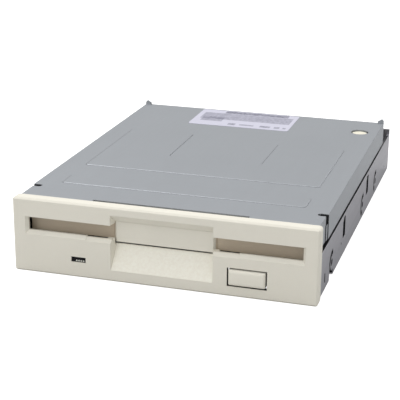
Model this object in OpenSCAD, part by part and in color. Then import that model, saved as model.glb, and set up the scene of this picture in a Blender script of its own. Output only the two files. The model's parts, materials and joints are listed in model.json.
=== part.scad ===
// Three and a half inch floppy disk drive, empty and ejected.
// Lengths are millimetres. Depths are measured back from the bezel's front face, heights up from its
// bottom edge and widths from the middle plane. placed() then centres the whole drive over its base.

/* [Front bezel] */
// Width of the bezel
bezel_w = 101.6; // [100:0.1:104]
// Height of the bezel
bezel_h = 25.4; // [25:0.1:28]
// Depth of the bezel's rim
bezel_t = 3.9; // [3.6:0.1:5]
// Width of the rim round the hollow back
bezel_rim = 1.4; // [1:0.1:2]
// Bevel along the front edges
bezel_edge = 0.6; // [0.2:0.1:1.2]

/* [Disk slot] */
// Distance of the slot's ends from the bezel's sides
slot_side = 4.3; // [3.8:0.05:4.5]
// Height of the slot's floor
slot_floor = 14.4; // [14:0.1:14.8]
// Height of the slot's roof
slot_roof = 19.1; // [18.9:0.1:19.6]
// Drop of the sloped lip below the floor
lip_drop = 1.2; // [0.6:0.1:1.6]

/* [Finger notch] */
// Width of the notch
notch_w = 34.1; // [28:0.1:36]
// Height of the notch's roof at the front face
notch_top = 22.6; // [21.6:0.1:23]
// Height of the roof's back edge
notch_roof_low = 19.7; // [19.5:0.1:20.4]
// Depth of the sloped roof
notch_roof_depth = 3.1; // [2.6:0.1:3.2]
// Height of the ramp's foot at the front face
ramp_foot = 3.9; // [3:0.1:5]
// Height of the ramp's top edge
ramp_head = 12; // [11:0.1:12.3]
// Depth of the ramp's top edge
ramp_depth = 4.4; // [3.6:0.1:4.6]
// Wall left behind and beside the notch
notch_wall = 1.6; // [1.2:0.1:2.4]

/* [Slot shutter] */
// Inset of the shutter's ends from the slot's ends
shutter_inset = 0.2; // [0.1:0.05:0.8]
// Depth of the shutter's recessed face
shutter_face = 4.9; // [4.8:0.1:5.2]
// Thickness of the shutter
shutter_t = 1.2; // [1:0.1:1.5]
// Height of the shutter's lower edge
shutter_low = 13.2; // [12.8:0.1:13.8]
// Gap between the middle panel and the notch's sides
panel_side_gap = 0.85; // [0.6:0.05:3]
// Depth of the middle panel's face
panel_face = 3.5; // [3.4:0.1:3.8]
// Height of the middle panel's lower edge
panel_low = 12.7; // [12.6:0.1:13.2]
// Depth of the hinge axis
hinge_y = 4.7; // [4.6:0.1:5]
// Height of the hinge axis as a share of the bezel's height
hinge_share = 0.811024; // [0.807:0.001:0.826]
// Radius of the shutter's barrel
barrel_r = 0.9; // [0.8:0.05:1]
// Radius of the shutter's end journals
journal_r = 0.7; // [0.5:0.05:0.75]
// Radial clearance of each journal
journal_gap = 0.05; // [0.02:0.01:0.08]

/* [Eject button] */
// Width of the button
button_w = 11.9; // [9:0.1:13]
// Height of the button
button_h = 5.2; // [4.8:0.1:5.4]
// Button's place between notch and bezel side, as a share
button_share = 0.32889; // [0.28:0.01:0.4]
// Height of the button's middle
button_z = 6.6; // [6.5:0.05:6.8]
// How far the button stands out when no disk is loaded
button_proud = 0.9; // [0.3:0.1:2]
// Gap round the button
button_gap = 0.5; // [0.3:0.05:0.6]
// Depth of the button's back end
button_back = 10.5; // [9:0.1:11]
// Bevel round the button's front
button_edge = 0.6; // [0.2:0.1:1]

/* [Activity lamp] */
// Lamp window's place between notch and bezel side, as a share
lamp_share = 0.32889; // [0.2:0.01:0.45]
// Height of the window's middle
lamp_z = 6.15; // [5.4:0.05:6.8]
// Width of the window
lamp_w = 5; // [3:0.1:6]
// Height of the window
lamp_h = 1.85; // [1.4:0.05:3]

/* [Chassis] */
// Inset of the body from the bezel's sides
body_inset = 0.6; // [0.2:0.1:0.8]
// Depth of the bay behind the stepping motor
rear_bay = 19.7; // [18.5:0.1:23]
// Thickness of the chassis sheet
chassis_t = 1; // [0.8:0.05:1.1]
// Height of the chassis above the surface it stands on
chassis_low = 0.5; // [0.3:0.1:0.8]
// Height of the side walls' top edge
wall_top = 15.2; // [15:0.1:15.6]
// Height of the deck's underside
deck_low = 7.2; // [7.2:0.05:7.25]
// Length of the deck behind the stepping motor
deck_tail = 5.8; // [5:0.1:6.2]

/* [Mounting holes] */
// Distance of the first side hole behind the bezel
side_hole_front = 21; // [20:0.5:22]
// Distance from the first side hole to the middle one
side_hole_mid = 60; // [59:0.5:61]
// Distance from the first side hole to the last one
side_hole_rear = 90; // [88:0.5:92]
// Height of the side holes above the chassis bottom
side_hole_up = 5; // [4.8:0.1:5.4]
// Radius of the collar pulled in round each side hole
collar_r = 2.2; // [1.9:0.1:2.4]
// Inner radius of the curved slot round each side hole
ring_slot_in = 2.7; // [2.5:0.1:3]
// Outer radius of that slot
ring_slot_out = 3.9; // [3.6:0.1:4.2]
// Distance of the bottom holes from the chassis's sides
bottom_hole_in = 3.7; // [3.4:0.1:4.2]
// Distance between the bottom holes along the depth
bottom_hole_d = 70; // [60:0.5:80]
// Depth of the first bottom hole behind the bezel
bottom_hole_first = 34; // [30:0.5:36]

/* [Top cover] */
// Thickness of the cover
cover_t = 0.8; // [0.6:0.05:0.9]
// Height of the cover's top face
cover_top = 24.9; // [24.8:0.05:25]
// Distance of the cover's rear edge ahead of the chassis's
cover_short = 19.4; // [18:0.1:22]
// Height of the side flanges' lower edge
flange_low = 16.6; // [16:0.1:17]
// Radius of the round hole near the rear corner
cover_hole_r = 3.3; // [3.1:0.1:4]
// Distance of that hole from the cover's side
cover_hole_in = 7; // [6.2:0.1:8.2]
// Distance of that hole in front of the cover's rear edge
cover_hole_ahead = 16.2; // [12.5:0.1:18]

/* [Disk holder] */
// Gap between the holder and the slide plate's upturned sides
holder_side_gap = 0.8; // [0.7:0.05:0.9]
// Thickness of the holder sheet
holder_t = 0.6; // [0.5:0.05:0.65]
// Height of the disk's underside in the ejected position
disk_high = 15; // [15:0.05:15.1]
// Inner height of the holder
holder_room = 4.15; // [4.05:0.05:4.2]
// Depth of the holder's front edge
holder_front = 14; // [13.6:0.1:15]
// Depth of the holder's rear edge
holder_rear = 98; // [97.5:0.1:98.1]
// Drop of the holder when a disk is loaded
holder_drop = 2.4; // [2.2:0.05:2.45]
// Radius of the guide pins
guide_pin_r = 0.8; // [0.6:0.05:0.9]
// Height of the guide pins in the ejected position
guide_pin_z = 12.9; // [12.85:0.05:13]
// Depth of the front guide pins
guide_front = 46.1; // [44:0.1:48]
// Depth of the rear guide pins
guide_rear = 94.4; // [93:0.1:95]
// Clearance of the guide pins in their slots
guide_gap = 0.2; // [0.15:0.05:0.3]

/* [Slide plate] */
// Thickness of the slide plate
slide_t = 0.8; // [0.6:0.05:0.8]
// Gap between the deck and the slide plate
slide_gap = 0.2; // [0.15:0.05:0.25]
// Gap between the slide plate and the chassis walls
slide_side_gap = 1.5; // [1.4:0.05:1.6]
// Height of the upturned sides' top edge
slide_top = 14.4; // [14.2:0.1:14.7]
// Width of the side rails
rail_w = 4.7; // [4:0.1:4.8]
// Depth of the rails' front ends
rail_front = 13; // [12.8:0.1:14]
// Depth of the rails' rear ends
rail_rear = 104; // [102:0.1:106]
// Depth of the cross bar's front edge
cross_front = 25; // [24.8:0.1:26]
// Forward travel of the slide plate when a disk is loaded
slide_travel = 5.5; // [5:0.1:5.6]
// Free movement inwards past the ejected position
over_travel = 0.3; // [0.1:0.05:0.35]

/* [Spindle] */
// Depth of the spindle axis
spindle_y = 50.5; // [50:0.1:51]
// Radius of the spindle shaft
shaft_r = 2; // [1.8:0.05:2.1]
// Height of the shaft's tip
shaft_top = 14.6; // [14.2:0.1:14.7]
// Running clearance of the shaft
shaft_gap = 0.05; // [0.02:0.01:0.08]
// Radius of the hub that grips the disk
hub_r = 12.4; // [11.5:0.1:12.8]
// Height of the hub's top face
hub_top = 12.9; // [12.7:0.05:12.95]
// Thickness of the hub
hub_t = 3.3; // [3:0.05:3.4]
// Radius of the rotor
rotor_r = 21; // [20:0.1:21.6]
// Height of the rotor's underside
rotor_low = 2.2; // [2:0.1:2.3]
// Height of the rotor's side
rotor_h = 3.4; // [3:0.1:3.5]
// Thickness of the rotor sheet
rotor_t = 0.8; // [0.6:0.05:0.9]
// Radius of the sprung drive pin
drive_pin_r = 1.4; // [1.2:0.05:1.5]
// Distance of the drive pin from the spindle axis
drive_pin_at = 10; // [9.6:0.1:10.3]
// Travel of the drive pin
drive_pin_travel = 1.2; // [0.8:0.1:1.3]
// Number of stator poles
poles = 12; // [9:3:15]

/* [Head carriage] */
// Distance of the heads behind the spindle axis at the outer track
track_outer = 39.5; // [39.4:0.05:39.6]
// Travel of the heads between the outer and inner tracks
head_travel = 14.8; // [14:0.1:14.9]
// Distance from the heads back to the carriage's rear face
carriage_rear_reach = 27; // [26.8:0.1:27.2]
// Half width of the carriage
carriage_half = 13; // [12.8:0.1:13.2]
// Height of the carriage's underside
carriage_low = 7.4; // [7.3:0.05:7.5]
// Height of the carriage's top face under the disk
carriage_top = 12; // [11.8:0.05:12.1]
// Distance of each guide rod from the middle plane
rod_x = 10.5; // [10:0.1:10.8]
// Radius of the guide rods
rod_r = 1.5; // [1.3:0.05:1.55]
// Sliding clearance of the guide rods
rod_gap = 0.05; // [0.02:0.01:0.08]
// Distance from the heads back to the arm's pivot
arm_reach = 25.2; // [25:0.1:25.4]
// Height of the arm's pivot
pivot_z = 16.6; // [16.5:0.05:16.7]
// Radius of the arm's pivot pin
pivot_r = 0.75; // [0.6:0.05:0.8]
// Lift of the upper arm with no disk, in degrees
arm_lift = 10; // [9.5:0.1:10.2]

/* [Stepping motor] */
// Distance of the motor axis from the middle plane, towards the left
screw_x = 24.5; // [24:0.1:25]
// Height of the motor axis
screw_z = 10.2; // [10.1:0.05:10.3]
// Radius of the motor can
motor_r = 8.5; // [8:0.1:8.6]
// Depth of the motor can's front face
motor_front = 112.4; // [112:0.1:113]
// Length of the motor can
motor_len = 17; // [15:0.1:17.6]
// Outer radius of the lead screw
screw_r = 1.6; // [1.5:0.05:1.65]
// Depth of the screw's groove
groove_depth = 0.5; // [0.4:0.05:0.55]
// Advance of the screw in one turn
screw_pitch = 3.75; // [3.5:0.05:4]

/* [Rear board] */
// Height of the board's underside
board_low = 3.6; // [3.4:0.1:3.7]
// Thickness of the board
board_t = 1.6; // [1.2:0.1:1.6]
// Gap between the board and the chassis walls
board_side_gap = 1.7; // [1.4:0.1:3.2]
// Depth of the board's front edge
board_front = 100; // [99:0.1:102]
// Gap between the board's rear edge and the rear return flanges
board_inset = 0.3; // [0.2:0.1:1]
// Gap beside the signal connector as a share of the spare width
signal_share = 0.16687; // [0.15:0.01:0.25]
// Number of signal pin columns
signal_columns = 17; // [10:1:17]
// Pitch of the signal pins
signal_pitch = 2.54; // [2.5:0.01:2.6]
// Height of the signal connector
signal_h = 9; // [8.4:0.1:9.4]
// Depth of the signal connector
signal_d = 9; // [8:0.1:9.6]
// Gap beside the power connector as a share of the spare width
power_share = 0.19432; // [0.13:0.01:0.25]
// Pitch of the power pins
power_pitch = 2.5; // [2.4:0.05:2.6]

/* [Sensor switches] */
// Distance of the outer switches from the holder's inner sides
switch_in = 6; // [5.8:0.1:7]
// Distance between the two left switches
switch_pitch = 7.5; // [7:0.1:10.5]
// Depth of the switches' middle
switch_y = 16; // [15.9:0.05:16.2]
// Width of each switch body
switch_w = 5.6; // [4.6:0.1:5.8]
// Height of each switch body
switch_h = 3.4; // [3:0.1:3.5]
// Radius of the switch plungers
plunger_r = 0.9; // [0.7:0.05:1]
// Travel of the plungers
plunger_travel = 1.2; // [0.8:0.1:1.3]

/* [Hidden] */

$fn = 48;
// Overrun that carries every cut past the face it opens
cut = 0.5;
// Gap kept between pieces that slide past each other
clear = 0.3;

motor_cap_t = 0.8;
motor_rear = motor_front + motor_len + motor_cap_t;
frame_rear = motor_rear + rear_bay;
chassis_len = frame_rear - bezel_t;
deck_rear = motor_rear + deck_tail;
cover_rear = frame_rear - cover_short;
cover_hole_y = cover_rear - cover_hole_ahead;
notch_side = notch_w / 2;
notch_to_side = bezel_w / 2 - notch_side;
panel_w = notch_w - 2 * panel_side_gap;
hinge_z = bezel_h * hinge_share;
slot_w = bezel_w - 2 * slot_side;
shutter_w = slot_w - 2 * shutter_inset;
button_x = notch_side + notch_to_side * button_share;
lamp_x = notch_side + notch_to_side * lamp_share;
body_half = bezel_w / 2 - body_inset;
bottom_hole_x = body_half - bottom_hole_in;
cover_hole_x = body_half - cover_hole_in;
drive_mid = (frame_rear - button_proud) / 2;
wall_in = body_half - chassis_t;
deck_top = deck_low + chassis_t;
chassis_floor = chassis_low + chassis_t;
side_hole_z = chassis_low + side_hole_up;
side_holes = [for (d = [0, side_hole_mid, side_hole_rear]) bezel_t + side_hole_front + d];
bottom_holes = [for (d = [0, bottom_hole_d]) bezel_t + bottom_hole_first + d];
cover_low = cover_top - cover_t;
slide_low = deck_top + slide_gap;
slide_up = slide_low + slide_t;
slide_half = wall_in - slide_side_gap;
slide_in = slide_half - slide_t;
holder_half = slide_in - holder_side_gap - holder_t;
holder_low = disk_high - holder_t;
holder_roof = disk_high + holder_room;
holder_top = holder_roof + holder_t;
holder_out = holder_half + holder_t;
disk_low = disk_high - holder_drop;
hub_low = hub_top - hub_t;
head_y = spindle_y + track_outer;
rod_z = deck_top + clear + rod_r;
carriage_front_reach = 4.5;
window_half = carriage_half + 4 * clear;
window_front = head_y - carriage_front_reach - head_travel - 2 * clear;
window_rear = head_y + carriage_rear_reach + 2 * clear;
motor_board_front = 20;
motor_board_y = [motor_board_front, window_front - clear];
rod_seat = 3;
rod_span = [window_front - rod_seat, window_rear + rod_seat];
arm_pivot_y = head_y + arm_reach;
board_top = board_low + board_t;
board_rear = frame_rear - chassis_t - board_inset;
board_half = wall_in - board_side_gap;
signal_extra = 7;
signal_w = signal_columns * signal_pitch + signal_extra;
power_w = 12.4;
spare_w = 2 * board_half - signal_w - power_w;
signal_x = board_half - spare_w * signal_share - signal_w / 2;
power_x = board_half - spare_w * power_share - power_w / 2;

// Everything is drawn in the bezel's own measures and moved to stand over the middle of its base
module placed() {
  translate([0, -drive_mid, 0]) children();
}

// The same shape on both sides of the middle plane
module both_sides() {
  children();
  mirror([1, 0, 0]) children();
}

// Block between two corners, each axis given as [low, high]
module block(x, y, z) {
  translate([x[0], y[0], z[0]]) cube([x[1] - x[0], y[1] - y[0], z[1] - z[0]]);
}

// Round bars along each axis, the long axis given as [low, high]
module bar_x(x, y, z, r) {
  translate([x[0], y, z]) rotate([0, 90, 0]) cylinder(h = x[1] - x[0], r = r);
}
module bar_y(x, y, z, r) {
  translate([x, y[0], z]) rotate([-90, 0, 0]) cylinder(h = y[1] - y[0], r = r);
}
module bar_z(x, y, z, r) {
  translate([x, y, z[0]]) cylinder(h = z[1] - z[0], r = r);
}

// Bars on the spindle's axis and on the stepping motor's axis
module disc(z, r) {
  bar_z(0, spindle_y, z, r);
}
module axle(y, r) {
  bar_y(-screw_x, y, screw_z, r);
}

// Flat shapes drawn as (depth, height), (width, height) and (width, depth)
module side_shape(x) {
  translate([x[0], 0, 0]) rotate([90, 0, 90]) linear_extrude(x[1] - x[0]) children();
}
module front_shape(y) {
  translate([0, y[1], 0]) rotate([90, 0, 0]) linear_extrude(y[1] - y[0]) children();
}
module flat_shape(z) {
  translate([0, 0, z[0]]) linear_extrude(z[1] - z[0]) children();
}

function ray(angle) = [cos(angle), sin(angle)];
function around(middle, width) = [middle - width / 2, middle + width / 2];
function grown(span, by) = [span[0] - by, span[1] + by];

// Rectangle with round corners, its middle at the origin
module rounded_rect(w, h, r) {
  square([w - 2 * r, h], center = true);
  square([w, h - 2 * r], center = true);
  for (x = [-1, 1])
    for (y = [-1, 1])
      translate([x * (w / 2 - r), y * (h / 2 - r)]) circle(r);
}

// Wound wire: stops are [x, y, z, angle] along the wire, sides carry a six-sided ring
wire_sides = 6;
rings_per_turn = 8;
function spot(stop) = [stop[0], stop[1], stop[2]];
function unit(v) = v / norm(v);
function heading(stops, i) =
  unit(spot(stops[min(i + 1, len(stops) - 1)]) - spot(stops[max(i - 1, 0)]));
function ring_point(stops, i, k, wire) =
  let (
    outward = [cos(stops[i][3]), sin(stops[i][3]), 0],
    sideways = unit(cross(heading(stops, i), outward)),
    turn = 360 * k / wire_sides
  )
  spot(stops[i]) + wire / 2 * (cos(turn) * unit(cross(sideways, heading(stops, i))) + sin(turn) * sideways);
function coil_stops(turns, radius, pitch, lead) = concat(
  [[radius, 0, -lead, 0]],
  [for (i = [0 : rings_per_turn * turns])
    let (a = 360 * i / rings_per_turn)
    [radius * cos(a), radius * sin(a), pitch * i / rings_per_turn, a]],
  [[radius * cos(360 * turns), radius * sin(360 * turns), pitch * turns + lead, 360 * turns]]
);
module wound_wire(stops, wire) {
  count = len(stops);
  points = [for (i = [0 : count - 1]) for (k = [0 : wire_sides - 1]) ring_point(stops, i, k, wire)];
  walls = [
    for (i = [0 : count - 2])
      for (k = [0 : wire_sides - 1])
        let (a = i * wire_sides + k, b = i * wire_sides + (k + 1) % wire_sides)
        for (half = [0, 1])
          half == 0 ? [a, b, b + wire_sides] : [a, b + wire_sides, a + wire_sides]
  ];
  top = (count - 1) * wire_sides;
  ends = [
    for (k = [1 : wire_sides - 2])
      for (half = [0, 1])
        half == 0 ? [0, k + 1, k] : [top, top + k, top + k + 1]
  ];
  polyhedron(points = points, faces = concat(walls, ends));
}
function least_gap(stops, wire) = min([
  for (i = [0 : len(stops) - 1])
    for (j = [i + rings_per_turn / 2 : 1 : len(stops) - 1])
      norm(spot(stops[i]) - spot(stops[j])) - wire
]);

// Front bezel
lip_depth = 1;
bezel_plate_t = 1.8;
notch_throat_in = 0.8;
slot_end_bevel = 0.9;
lip_relief_w = 8.4;
lip_relief = 0.25;
bezel_corner = 1.1;
ear_wall = 1.7;
ear_width = 1.8;
arm_t = 1.2;
arm_back = 15.2;
arm_z = [2.2, 7];
hook_y = [12.8, 13.8];
hook_z = [3.1, 5.9];
hook_play = 0.2;
button_x_span = grown(around(button_x, button_w), button_gap);
button_z_span = grown(around(button_z, button_h), button_gap);
lamp_x_span = around(-lamp_x, lamp_w);
lamp_z_span = around(lamp_z, lamp_h);

module bezel_blank() {
  half = bezel_w / 2;
  intersection() {
    side_shape([-half, half]) polygon([
      [bezel_t, 0], [bezel_edge, 0], [0, bezel_edge],
      [0, bezel_h - bezel_edge], [bezel_edge, bezel_h], [bezel_t, bezel_h]
    ]);
    flat_shape([0, bezel_h]) polygon([
      [-half, bezel_t], [-half, bezel_edge], [bezel_edge - half, 0],
      [half - bezel_edge, 0], [half, bezel_edge], [half, bezel_t]
    ]);
    front_shape([0, bezel_t]) translate([0, bezel_h / 2]) rounded_rect(bezel_w, bezel_h, bezel_corner);
  }
}

// Thicker middle that carries the notch's roof, cheeks and ramp
module bezel_core() {
  half = notch_w / 2 + notch_wall;
  block([-half, half], [bezel_edge, ramp_depth], [ramp_foot - notch_wall, ramp_head]);
  block([-half, half], [bezel_edge, notch_roof_depth], [bezel_rim, bezel_h - bezel_rim]);
}

module lip_profile(drop) {
  polygon([
    [-cut, slot_floor - drop - lip_drop], [0, slot_floor - drop - lip_drop],
    [lip_depth, slot_floor - drop], [lip_depth, slot_roof], [-cut, slot_roof]
  ]);
}

module slot_cut() {
  half = slot_w / 2;
  deep = half - slot_end_bevel;
  relief = notch_w / 2 + lip_relief_w;
  block([-deep, deep], [-cut, panel_face], [slot_floor, slot_roof]);
  intersection() {
    side_shape([-half, half]) lip_profile(0);
    flat_shape([0, bezel_h]) polygon([
      [-half, -cut], [-half, 0], [-deep, lip_depth],
      [deep, lip_depth], [half, 0], [half, -cut]
    ]);
  }
  side_shape([-relief, relief]) lip_profile(lip_relief);
  block([-relief, relief], [0, panel_face], [slot_floor - lip_relief, slot_roof]);
}

module notch_cut() {
  mouth = notch_w / 2;
  throat = mouth - notch_throat_in;
  back = ramp_depth + cut;
  intersection() {
    side_shape([-mouth, mouth]) polygon([
      [-cut, ramp_foot], [0, ramp_foot], [ramp_depth, ramp_head], [back, ramp_head],
      [back, notch_roof_low], [notch_roof_depth, notch_roof_low], [0, notch_top], [-cut, notch_top]
    ]);
    flat_shape([0, bezel_h]) polygon([
      [-mouth, -cut], [-mouth, 0], [-throat, ramp_depth], [-throat, back],
      [throat, back], [throat, ramp_depth], [mouth, 0], [mouth, -cut]
    ]);
  }
}

// Ear that holds one of the shutter's journals, and the snap arm that clips the bezel to the chassis
module bezel_ear_and_arm() {
  ear_x = [shutter_w / 2 + clear, shutter_w / 2 + clear + ear_width];
  difference() {
    block(ear_x, [bezel_plate_t - cut, hinge_y + ear_wall], [hinge_z - ear_wall, hinge_z + ear_wall]);
    bar_x(grown(ear_x, cut), hinge_y, hinge_z, journal_r + journal_gap);
  }
  arm_x = [wall_in - hook_play - arm_t, wall_in - hook_play];
  block(arm_x, [bezel_plate_t - cut, arm_back], arm_z);
  block([wall_in - hook_play - cut, body_half - hook_play], hook_y, hook_z);
}

module front_bezel() {
  color("#d3cfc2") placed() {
    difference() {
      union() {
        difference() {
          bezel_blank();
          block(
            [bezel_rim - bezel_w / 2, bezel_w / 2 - bezel_rim],
            [bezel_plate_t, bezel_t + cut],
            [bezel_rim, bezel_h - bezel_rim]
          );
        }
        bezel_core();
        both_sides() bezel_ear_and_arm();
      }
      slot_cut();
      notch_cut();
      block(lamp_x_span, [-cut, bezel_t], lamp_z_span);
      block(button_x_span, [-cut, bezel_t], button_z_span);
    }
  }
}

// Lens of the activity lamp, with four small light guides in its lower half
lens_gap = 0.08;
lens_front = 0.4;
lens_back = 3;
guide_dot_r = 0.28;
guide_dot_up = 0.1;
guide_dot_drop = 0.4;
guide_dots = 4;
module lamp_window() {
  x = grown(lamp_x_span, -lens_gap);
  z = grown(lamp_z_span, -lens_gap);
  dot_pitch = (lamp_w - lamp_h) / guide_dots;
  color("#15161a") placed() {
    block(x, [lens_front, lens_back], z);
    for (i = [1 : guide_dots])
      bar_y(x[0] + lamp_h / 2 + i * dot_pitch, [lens_front - guide_dot_up, lens_back],
        lamp_z - guide_dot_drop, guide_dot_r);
  }
}

// Lamp behind the lens, with its two wires soldered under the motor board
lamp_body_w = 4.4;
lamp_body_z = [4.7, 7.1];
lamp_back = 8.2;
lamp_dome_r = 1;
lead_r = 0.25;
lead_pitch = 2.54;
lead_seat = 2;
module activity_lamp() {
  color("#b9d98a") placed() {
    block(around(-lamp_x, lamp_body_w), [lens_back + lamp_dome_r, lamp_back], lamp_body_z);
    bar_y(-lamp_x, [lens_back, lamp_back], (lamp_body_z[0] + lamp_body_z[1]) / 2, lamp_dome_r);
  }
}

// Slot shutter
journal_len = 1.7;
panel_end_slope = 1.2;
panel_back = shutter_face + shutter_t;
spring_nook = 5.4;
module slot_shutter() {
  half = shutter_w / 2;
  panel = panel_w / 2;
  nook_x = [-half - cut, spring_nook - half];
  color("#cbc6b9") placed() {
    difference() {
      union() {
        block([-half, half], [shutter_face, panel_back], [shutter_low, hinge_z]);
        bar_x([-half, half], hinge_y, hinge_z, barrel_r);
        flat_shape([panel_low, hinge_z - barrel_r / 2]) polygon([
          [-panel, panel_face], [panel, panel_face], [panel + panel_end_slope, shutter_face],
          [panel + panel_end_slope, panel_back], [-panel - panel_end_slope, panel_back],
          [-panel - panel_end_slope, shutter_face]
        ]);
      }
      block(nook_x, [0, panel_back + cut], [hinge_z - 2 * barrel_r, hinge_z + 2 * barrel_r]);
    }
    bar_x([-half - journal_len, spring_nook - half + cut], hinge_y, hinge_z, journal_r);
    bar_x([half - cut, half + journal_len], hinge_y, hinge_z, journal_r);
  }
}

// Torsion spring wound round the shutter's left journal
shutter_wire = 0.35;
shutter_coil_r = 1.2;
shutter_turns = 5;
shutter_pitch = 0.85;
shutter_lead = 0.2;
module shutter_spring() {
  stops = coil_stops(shutter_turns, shutter_coil_r, shutter_pitch, shutter_lead);
  echo(shutter_spring_least_gap = least_gap(stops, shutter_wire));
  color("silver") placed()
    translate([2 * clear + shutter_lead - shutter_w / 2, hinge_y, hinge_z])
      rotate([0, 90, 0]) wound_wire(stops, shutter_wire);
}

// Eject button, hollow and open at the back, with a slot for the slide plate's tongue
tongue_w = 5;
button_wall = 1.1;
tongue_seat = 3.5;
module eject_button() {
  x = around(button_x, button_w);
  z = around(button_z, button_h);
  front = -button_proud;
  color("#d9d5c8") placed() difference() {
    intersection() {
      side_shape(x) polygon([
        [button_back, z[0]], [front + button_edge, z[0]], [front, z[0] + button_edge],
        [front, z[1] - button_edge], [front + button_edge, z[1]], [button_back, z[1]]
      ]);
      flat_shape(z) polygon([
        [x[0], button_back], [x[0], front + button_edge], [x[0] + button_edge, front],
        [x[1] - button_edge, front], [x[1], front + button_edge], [x[1], button_back]
      ]);
    }
    block(grown(x, -button_wall), [front + 2 * button_wall, button_back - tongue_seat],
      grown(z, -button_wall));
    block(around(button_x, tongue_w), [button_back - tongue_seat, button_back + cut],
      [slide_low, z[1] + cut]);
  }
}

// Slide plate: two rails with upturned sides joined by a cross bar
slot_reach = guide_pin_r + guide_gap;
cross_len = 9;
hook_tab_t = 0.8;
hook_tab_y = 78;
hook_tab_in = 2.8;
hook_tab_seat = 0.4;
rail_in = slide_half - rail_w;
hook_tab_x = [rail_in - hook_tab_in, rail_in + hook_tab_seat];
hook_tab_top = 11.8;
catch_gap = 0.4;
catch_y = [84.5, 87.5];
catch_top = 21;
module slide_slot(y) {
  slope = holder_drop / slide_travel;
  low = [y + slide_travel, guide_pin_z - holder_drop];
  high = [y - over_travel, guide_pin_z + over_travel * slope];
  tilt = atan2(high[1] - low[1], high[0] - low[0]);
  side_shape([slide_in - cut, slide_half + cut]) union() {
    translate(low) circle(slot_reach);
    translate(high) circle(slot_reach);
    translate(low) rotate(tilt) translate([0, -slot_reach]) square([norm(high - low), 2 * slot_reach]);
  }
}
module slide_plate() {
  flat = [slide_low, slide_up];
  rail_y = [rail_front, rail_rear];
  color("#b4b5b3") placed() {
    both_sides() difference() {
      union() {
        block([rail_in, slide_half], rail_y, flat);
        block([slide_in, slide_half], rail_y, [slide_low, slide_top]);
        block(hook_tab_x, around(hook_tab_y, hook_tab_t), [slide_low, hook_tab_top]);
      }
      slide_slot(guide_front);
      slide_slot(guide_rear);
    }
    block([-slide_in, slide_in], [cross_front, cross_front + cross_len], flat);
    block(around(button_x, tongue_w), [button_back - tongue_seat, cross_front + cut], flat);
    block([-slide_half, -slide_in], catch_y, [slide_top - cut, catch_top]);
  }
}

// Two tension springs that pull the slide plate forward, from hooks on the deck
spring_wire = 0.4;
spring_coil_r = 1;
spring_turns = 16;
spring_pitch = 1.7;
spring_lead = 1.2;
spring_in = 1.8;
spring_x = rail_in - spring_in;
spring_z = 10.5;
chassis_hook_y = hook_tab_y - hook_tab_t - spring_turns * spring_pitch - 2 * spring_lead;
module return_springs() {
  stops = coil_stops(spring_turns, spring_coil_r, spring_pitch, spring_lead);
  echo(return_spring_least_gap = least_gap(stops, spring_wire));
  color("silver") placed() both_sides()
    translate([spring_x, chassis_hook_y + hook_tab_t / 2 + spring_lead, spring_z])
      rotate([-90, 0, 0]) wound_wire(stops, spring_wire);
}

// Disk holder: a channel that the disk slides into, carried on four guide pins
lip_w = 3.1;
arm_gap_half = 9;
arm_gap_front = 66;
lift_bar_w = 2.4;
lift_bar_rear = 103;
pin_tab_w = 5;
pin_tab_low = 1;
lever_in = 11.5;
lever_x = lever_in - holder_half;
lever_y = 88;
lever_reach = 21;
lever_rest_angle = -30;
lever_swing_angle = 57;
tip_r = 1.4;
arc_gap = 0.6;
entry_flare = 1.2;
module arc_slot() {
  inner = lever_reach - tip_r - arc_gap;
  outer = lever_reach + tip_r + arc_gap;
  first = lever_rest_angle - 2 * asin((tip_r + arc_gap) / lever_reach);
  last = lever_rest_angle + lever_swing_angle + 2 * asin((tip_r + arc_gap) / lever_reach);
  far = 2 * outer;
  translate([lever_x, lever_y]) difference() {
    circle(outer);
    circle(inner);
    polygon([
      [0, 0], far * ray(last), far * [0, 1], far * [-1, 1],
      far * [-1, -1], far * [0, -1], far * ray(first)
    ]);
  }
}
module disk_holder() {
  y = [holder_front, holder_rear];
  color("#a9abab") placed() {
    flat_shape([holder_roof, holder_top]) difference() {
      union() {
        translate([-holder_out, y[0]]) square([2 * holder_out, y[1] - y[0]]);
        translate([arm_gap_half, arm_gap_front])
          square([lift_bar_w, lift_bar_rear - arm_gap_front]);
      }
      translate([-arm_gap_half, arm_gap_front])
        square([2 * arm_gap_half, holder_rear - arm_gap_front + cut]);
      arc_slot();
    }
    both_sides() {
      block([holder_half, holder_out], y, [holder_low, holder_top]);
      block([holder_out - lip_w, holder_out], y, [holder_low, disk_high]);
      side_shape([holder_out - lip_w, holder_out]) polygon([
        [y[0], holder_low], [y[0], disk_high],
        [y[0] - entry_flare, holder_low], [y[0] - entry_flare, holder_low - holder_t]
      ]);
      for (pin_y = [guide_front, guide_rear])
        block([holder_half, holder_out], around(pin_y, pin_tab_w),
          [guide_pin_z - pin_tab_low, holder_low]);
    }
  }
}

// Four pins on the holder that run in the upright slots of the chassis
pin_setback = 0.3;
module guide_pins() {
  color("#8e9194") placed() both_sides()
    for (pin_y = [guide_front, guide_rear])
      bar_x([holder_out, body_half - pin_setback], pin_y, guide_pin_z, guide_pin_r);
}

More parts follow.
